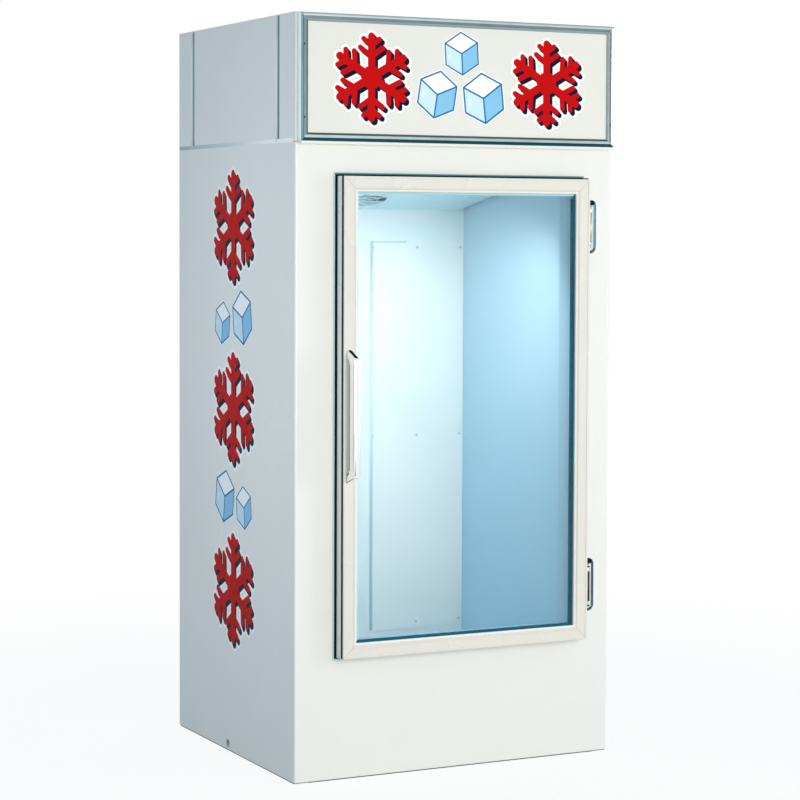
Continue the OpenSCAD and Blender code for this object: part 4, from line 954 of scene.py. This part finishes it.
# %% Door rings
door_low, door_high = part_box("door_frame_rails")
door_corners = flat_corners(door_low, door_high)
glass_inset = 0.038
roll_section = lip_section(0.0008, 0.0036, 0.0012)
bead_section = [(glass_inset - 0.0045, -0.0045), (glass_inset - 0.0030, -0.0035),
                (glass_inset - 0.0002, -0.0056), (glass_inset + 0.0006, -0.0075)]
mitred_ring("door_outer_roll", *door_corners, door_low.y + 0.0015, roll_section,
            [edge_painted_shade, edge_painted_shade, edge_painted_highlight, edge_painted_tan_reflection], "door", "door_profile")
mitred_ring("glazing_bead", *door_corners, door_low.y, bead_section, [edge_painted_highlight], "door", "door_profile")
print("door", round(door_high.x - door_low.x, 3), "by", round(door_high.z - door_low.z, 3))

# %% [markdown]
# The edge of the glass is taped where the spacer would show. The tape is teal at the foot and on the right,
# and looks pale where it mirrors the lit ceiling along the top and the bright wall at the left.

# %% Glass tape
tape_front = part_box("door_glass_front")[0].y - 0.0002
tape_teal = moulded("tape_teal", (0.001, 0.085, 0.150), 0.5, bump=0.03, lift=1.3, gloss=0.15)
tape_pale = moulded("tape_pale", (0.34, 0.58, 0.66), 0.4, bump=0.03, lift=1.1)
tape_left = moulded("tape_left", (0.60, 0.78, 0.82), 0.4, bump=0.03, lift=1.1)
tape_section = [(glass_inset - 0.0002, 0.0001), (glass_inset + 0.0062, 0.0001), (glass_inset + 0.0066, 0.0)]
mitred_ring("glass_tape", *door_corners, tape_front, tape_section,
            [tape_teal, tape_teal, tape_pale, tape_left], "door", "spacer_black")
print("tape on the pane at y", round(tape_front, 4))

# %% [markdown]
# Where two rails meet at a corner, the cut shows as a hairline. It climbs over the same section as the
# rails, so it is a very narrow strip laid along each diagonal, a fifth of a millimetre above the metal.

# %% Mitre lines
def mitre_lines(name, low, high, front, section, finish, body, slot, half=0.00035, lift=0.0002):
    shape = bmesh.new()
    for x, z, step_x, step_z in ((low[0], low[1], 1, 1), (high[0], low[1], -1, 1),
                                 (high[0], high[1], -1, -1), (low[0], high[1], 1, -1)):
        aside = Vector((-step_z, 0, step_x)).normalized() * half
        rows = []
        for inset, rise in section:
            spot = Vector((x + step_x * inset, front - rise - lift, z + step_z * inset))
            rows.append((shape.verts.new(spot - aside), shape.verts.new(spot + aside)))
        for first, second in zip(rows, rows[1:]):
            shape.faces.new((first[0], first[1], second[1], second[0]))
    return add_piece(name, mesh_of(name, shape), [finish], body)


seam_grey = moulded("seam_grey", (0.33, 0.33, 0.30), 0.5, lift=1.05, gloss=0.2)
door_section = [(0.0062, -0.0015), (0.027, -0.0015), (0.028, -0.0005), (0.030, -0.0005), (0.0335, -0.0035)]
sign_section = [(0.0082, -0.0006), (0.0145, -0.0006)]
mitre_lines("door_mitre_lines", *door_corners, door_low.y, door_section, seam_grey, "door", "door_profile")
mitre_lines("sign_mitre_lines", sign_low, sign_high, sign_front, sign_section, soft_lip, "cabinet",
            "sign_aluminium")
print("mitres drawn on two frames")

# %% [markdown]
# ## Hinges
# The hinges are plated castings. Down the cabinet plate's outer side, curling in at the foot, runs a dark
# strip of painted reflection and shade on its rounded edge, and a black plug closes the top of the knuckle.
# Edge and plug are the same on both.

# %% Hinge edges and plugs
plates_low, plates_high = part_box("hinge_plates")
plate_tall = 0.142
plate_tops = {"upper": plates_high.z, "lower": plates_low.z + plate_tall}
plate_front = skin_front - 0.009
plate_inset = 0.0045
edge_x = plates_high.x - 0.0076
rim_half = 0.0037
head_round = 0.010
foot_round = 0.014
head_start = 0.012
foot_end = 0.003
plug_left = plates_high.x - 0.0305
plug_depth = 0.006
# Each corner is its centre to the right and down, its radius and its first angle
plug_corners = ((0.005, 0.0065, 0.005, 180), (0.014, 0.0065, 0.005, 90), (0.014, 0.0105, 0.004, 0),
                (0.005, 0.0105, 0.004, -90))


def on_plate(spot, rise):
    return (spot.x, plate_front - rise, spot.y)


def in_plate(u, v, depth):
    return (u, plate_front - depth, v)


for name, plate_top in plate_tops.items():
    plate_foot = plate_top - plate_tall
    edge_path = [(plug_left + head_start, plate_top - plate_inset)]
    edge_path += arc((edge_x - head_round, plate_top - plate_inset - head_round), head_round, 90, 0, 8)
    edge_path += arc((edge_x - foot_round, plate_foot + plate_inset + foot_round), foot_round, 0, -90, 8)
    edge_path += [(plug_left + foot_end, plate_foot + plate_inset)]
    bead_along(name + "_hinge_edge", edge_path, rim_half, 0.0016, on_plate, dark_metal_and_painted_shade, "cabinet")
    plug_outline = []
    for aside, down, radius, start in plug_corners:
        plug_outline += arc((plug_left + aside, plate_top - down), radius, start, start - 90, 4)
    plug_mesh = extrude_outline(name + "_hinge_plug", plug_outline, plug_depth, in_plate)
    plug = add_piece(name + "_hinge_plug", plug_mesh, [cap_black], "cabinet")
    soften(plug, 0.0015)
print("hinges dressed at", [round(top, 3) for top in plate_tops.values()])

# %% [markdown]
# Between the two ends of each knuckle a strip is painted on the barrel as a reflection: tan on the upper hinge
# and dark on the lower one. A screw above and below it is painted the same. The strips turn with the door's
# leaf, so they ride on the door; on the cabinet, the leaf would swing through them.

# %% Painted reflections on the hinge knuckles
knuckle_tan_reflection = grained_metal("knuckle_tan_reflection", (0.55, 0.46, 0.36), 0.3, grain=260)
knuckle_dark_reflection = grained_metal("knuckle_dark_reflection", (0.055, 0.035, 0.030), 0.4, grain=260)
knuckle_x = plates_high.x - 0.0313
knuckle_front = skin_front - 0.0285
reflection_rise = 0.0006
# Each mark has two distances below the top of the plate, and a share of the width
marks = (("_knuckle_reflection", 0.113, 0.033, 1), ("_knuckle_screw_top", 0.018, 0.022, 0.9),
         ("_knuckle_screw_foot", 0.122, 0.126, 0.9))


def on_knuckle(spot, rise):
    return (spot.x, knuckle_front - rise, spot.y)


for name, finish, reflection_half in (("upper", knuckle_tan_reflection, 0.0028), ("lower", knuckle_dark_reflection, 0.0044)):
    for mark, first_drop, last_drop, share in marks:
        path = [(knuckle_x, plate_tops[name] - drop) for drop in (first_drop, last_drop)]
        bead_along(name + mark, path, reflection_half * share, reflection_rise, on_knuckle, finish, "door")
print("sleeves at x", round(knuckle_x, 3))

# %% [markdown]
# The handle's left flank gets four painted marks: a cool painted shade where the grip turns towards the finger
# gap, a tan painted reflection at its front corner, and under the lower foot a painted shadow and a dark line
# along its edge. They are narrow beads on the flank.

# %% Handle lines
def on_flank(spot, rise):
    return (grip_low.x + 0.0002 - rise, grip_high.y - spot.x, grip_low.z + spot.y)


painted_shade_line = moulded("painted_shade_line", (0.12, 0.22, 0.29), 0.4, lift=1.1, gloss=0.3)
painted_tan_reflection = moulded("painted_tan_reflection", (0.52, 0.46, 0.36), 0.4, lift=1.1, gloss=0.3)
line_low = foot + 0.010
line_high = tall - foot - 0.010
cool_at = 0.0205
warm_at = reach - 0.007
line_rise = 0.0004
for name, path, half, finish in (
        ("grip_painted_shade_line", [(cool_at, line_low), (cool_at, line_high)], 0.0024, painted_shade_line),
        ("grip_painted_tan_reflection", [(warm_at, line_low), (warm_at, line_high)], 0.0018, painted_tan_reflection),
        ("foot_shadow", [(0.007, foot - 0.004), (0.015, foot + 0.004)], 0.0026, dark_metal_and_painted_shade),
        ("foot_dark_line", [(0.003, 0.0028), (reach - 0.010, 0.0165)], 0.0009, cap_black)):
    bead_along(name, path, half, line_rise, on_flank, finish, "door")
print("handle lines from", round(line_low, 3), "to", round(line_high, 3))

# %% [markdown]
# ## Screw recesses
# Every screw head has a cross recess. The solids have plain heads, so each head is found as a separate
# island of its node, and a small black cross, painted shade for the recess, is laid on the side that faces
# out.

# %% Screw recesses
def islands(mesh):
    shape = bmesh.new()
    shape.from_mesh(mesh)
    left = set(shape.verts)
    groups = []
    while left:
        edge_of_group = [left.pop()]
        group = []
        while edge_of_group:
            spot = edge_of_group.pop()
            group.append(spot.co.copy())
            for link in spot.link_edges:
                other = link.other_vert(spot)
                if other in left:
                    left.remove(other)
                    edge_of_group.append(other)
        groups.append(group)
    shape.free()
    return groups


def cross_recesses(name, node, body, outward, size, slim=0.22, lift=0.00005):
    outward = Vector(outward)
    sides = [Vector(axis) for axis in ((1, 0, 0), (0, 1, 0), (0, 0, 1)) if abs(outward.dot(axis)) < 0.5]
    shape = bmesh.new()
    for group in islands(nodes[node].data):
        top = max(spot.dot(outward) for spot in group)
        mean = sum(group, Vector()) / len(group)
        centre = mean + outward * (top - mean.dot(outward) + lift)
        for long_side, short_side in (sides, sides[::-1]):
            quad = [centre + long_side * size * a + short_side * size * slim * b for a, b in
                    ((-1, -1), (1, -1), (1, 1), (-1, 1))]
            face = shape.faces.new([shape.verts.new(spot) for spot in quad])
            face.normal_update()
            if face.normal.dot(outward) < 0:
                face.normal_flip()
    return add_piece(name, mesh_of(name, shape), [black_enamel], body)


for name, node, outward, size in (("liner_screw_recesses", "liner_screws", (0, -1, 0), 0.0016),
                                  ("rear_screw_recesses", "rear_screws", (0, 1, 0), 0.0018),
                                  ("sign_screw_recesses", "sign_screws", (0, -1, 0), 0.0018)):
    crosses = cross_recesses(name, node, "cabinet", outward, size)
    print(name, len(crosses.data.polygons) // 2, "screws")

# %% [markdown]
# ## Studio
# The front of the cabinet is nearly white and the side is a cool grey, so the light must come from the
# front with a cooler fill all round. A white world would flatten both. Instead the world gives the cool
# fill, a tall warm lamp lights the front, a weaker one opens it from the right, a small one beside the
# cabinet lifts the left side's front edge, and a cool one opens the back. Camera, mirror and glass rays see
# plain white behind, which keeps the paper-white background without adding light.

# %% World and lamps
def backdrop_share(tree):
    path = add(tree, "ShaderNodeLightPath")
    seen = calculated(tree, "MAXIMUM", path.outputs["Is Camera Ray"], path.outputs["Is Glossy Ray"])
    return calculated(tree, "MAXIMUM", seen, path.outputs["Is Transmission Ray"])


world = bpy.data.worlds.new("studio")
world.use_nodes = True
bpy.context.scene.world = world
sky = world.node_tree
fill_colour = (0.385, 0.49, 0.575)
paper_white_light = (1.0, 1.0, 1.0)
wire(sky, sky.nodes["Background"], Color=mixed(sky, backdrop_share(sky), fill_colour, paper_white_light))


def area_lamp(name, spot, target, size, watts, colour):
    data = bpy.data.lights.new(name, "AREA")
    data.shape = "RECTANGLE"
    data.size, data.size_y = size
    data.energy = watts
    data.color = colour
    lamp = bpy.data.objects.new(name, data)
    lamp.location = spot
    lamp.rotation_euler = (Vector(target) - Vector(spot)).to_track_quat("-Z", "Y").to_euler()
    bpy.context.scene.collection.objects.link(lamp)
    return lamp


area_lamp("front_light", spot=(-0.2, -5.2, 1.3), target=(0.1, 0, 0.9), size=(1.8, 2.4), watts=154,
          colour=(1.0, 0.91, 0.80))
area_lamp("right_light", spot=(3.6, -3.2, 1.3), target=(0.4, -0.4, 1.1), size=(1.2, 2.2), watts=40,
          colour=(1.0, 0.95, 0.87))
beside = area_lamp("side_light", spot=(-2.0, -0.28, 1.3), target=(-0.457, -0.24, 1.1), size=(0.5, 1.2),
                   watts=2.6, colour=(0.93, 0.97, 1.0))
beside.data.spread = math.radians(100)
area_lamp("back_light", spot=(3.4, 3.6, 3.2), target=(0, 0, 1.0), size=(3.0, 3.0), watts=45,
          colour=(0.96, 0.98, 1.0))
print("lamps lit:", len(bpy.data.lights))

# %% [markdown]
# Chrome in an all-white room looks like plaster, so photographers stand dark and tan cards beside it. These
# cards are seen by mirror rays alone: they light nothing, cast no shadow and never enter the picture.

# %% Cards for the chrome
def flat_sheet(name, wide, deep):
    mesh = bpy.data.meshes.new(name)
    corners = [(x * wide / 2, y * deep / 2, 0) for x, y in ((-1, -1), (1, -1), (1, 1), (-1, 1))]
    mesh.from_pydata(corners, [], [(0, 1, 2, 3)])
    sheet = bpy.data.objects.new(name, mesh)
    bpy.context.scene.collection.objects.link(sheet)
    skin = bpy.data.materials.new(name)
    skin.use_nodes = True
    mesh.materials.append(skin)
    return sheet, skin.node_tree


def mirror_card(name, centre, facing, size, colour):
    card, tree = flat_sheet(name, *size)
    glow = add(tree, "ShaderNodeEmission", Color=(*colour, 1))
    wire(tree, tree.nodes["Material Output"], Surface=glow.outputs[0])
    card.location = centre
    card.rotation_euler = (Vector(facing) - Vector(centre)).to_track_quat("Z", "Y").to_euler()
    card.visible_camera = False
    card.visible_diffuse = False
    card.visible_transmission = False
    card.visible_shadow = False


mirror_card("tan_card", (-2.6, -1.9, 1.35), (0, -0.4, 1.3), (2.2, 1.7), (0.50, 0.42, 0.33))
mirror_card("dark_card", (-1.9, -1.6, 0.22), (0, -0.4, 0.4), (2.0, 0.42), (0.03, 0.03, 0.03))
mirror_card("high_card", (-0.6, -3.2, 3.4), (0, -0.4, 1.0), (2.4, 1.0), (0.04, 0.05, 0.05))
print("three cards set up beside the front")

# %% [markdown]
# ## Floor
# The object stands on plain white paper. A diffuse sheet alone would come out grey at this light level, so
# the camera sees it mostly as glowing white, with enough of the real surface mixed in to keep the soft
# shadow. Away from the object the real surface fades out, so that no line shows where paper ends and
# background begins.

# %% Floor
paper_wide = 28
floor, paper = flat_sheet("paper_floor", paper_wide, paper_wide)
seen_share = backdrop_share(paper)
lit_paper = (0.46, 0.48, 0.50)
seen_paper = (0.94, 0.95, 0.96)
paper_skin = wire(paper, paper.nodes["Principled BSDF"], Roughness=0.9, Specular_IOR_Level=0.1,
                  Base_Color=mixed(paper, seen_share, lit_paper, seen_paper))
glow = add(paper, "ShaderNodeEmission", Color=(1, 1, 1, 1))
far = add(paper, "ShaderNodeVectorMath", Vector=where(paper))
far.operation = "LENGTH"
shadow_near = 0.9
shadow_far = 3.2
least_glow = 0.88
fade = ranged(paper, far.outputs["Value"], shadow_near, shadow_far, least_glow, 1.0)
fade.node.interpolation_type = "SMOOTHSTEP"
glow_share = calculated(paper, "MULTIPLY", seen_share, fade)
blend = add(paper, "ShaderNodeMixShader")
for socket, value in zip(blend.inputs, (glow_share, paper_skin.outputs[0], glow.outputs[0])):
    paper.links.new(value, socket)
wire(paper, paper.nodes["Material Output"], Surface=blend.outputs[0])
print(floor.name, paper_wide, "m wide")

# %% [markdown]
# ## Light in the cavity
# The tube sits behind the top of the front wall, out of the camera's sight, and washes the rear wall from
# above. An area lamp just under the tube does this with far less noise than a glowing mesh would.

# %% Cavity light
tube_low, tube_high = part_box("cavity_lamp")
liner_low, liner_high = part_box("liner")
under_tube = 0.012
lamp_shift = 0.06
aim_shift = 0.05
aim_height = 0.20
lit_share = 0.45
tube_spot = ((tube_low.x + tube_high.x) / 2 + lamp_shift, tube_high.y + under_tube, tube_low.z - under_tube)
wash_target = (tube_spot[0] - aim_shift, liner_high.y, liner_low.z + aim_height)
wash_size = ((tube_high.x - tube_low.x) * lit_share, 0.05)
wash = area_lamp("cavity_wash", tube_spot, wash_target, wash_size, watts=3.15, colour=(1.0, 0.985, 0.955))
wash.data.spread = math.radians(132)
print("cavity lamp at", [round(v, 3) for v in tube_spot])
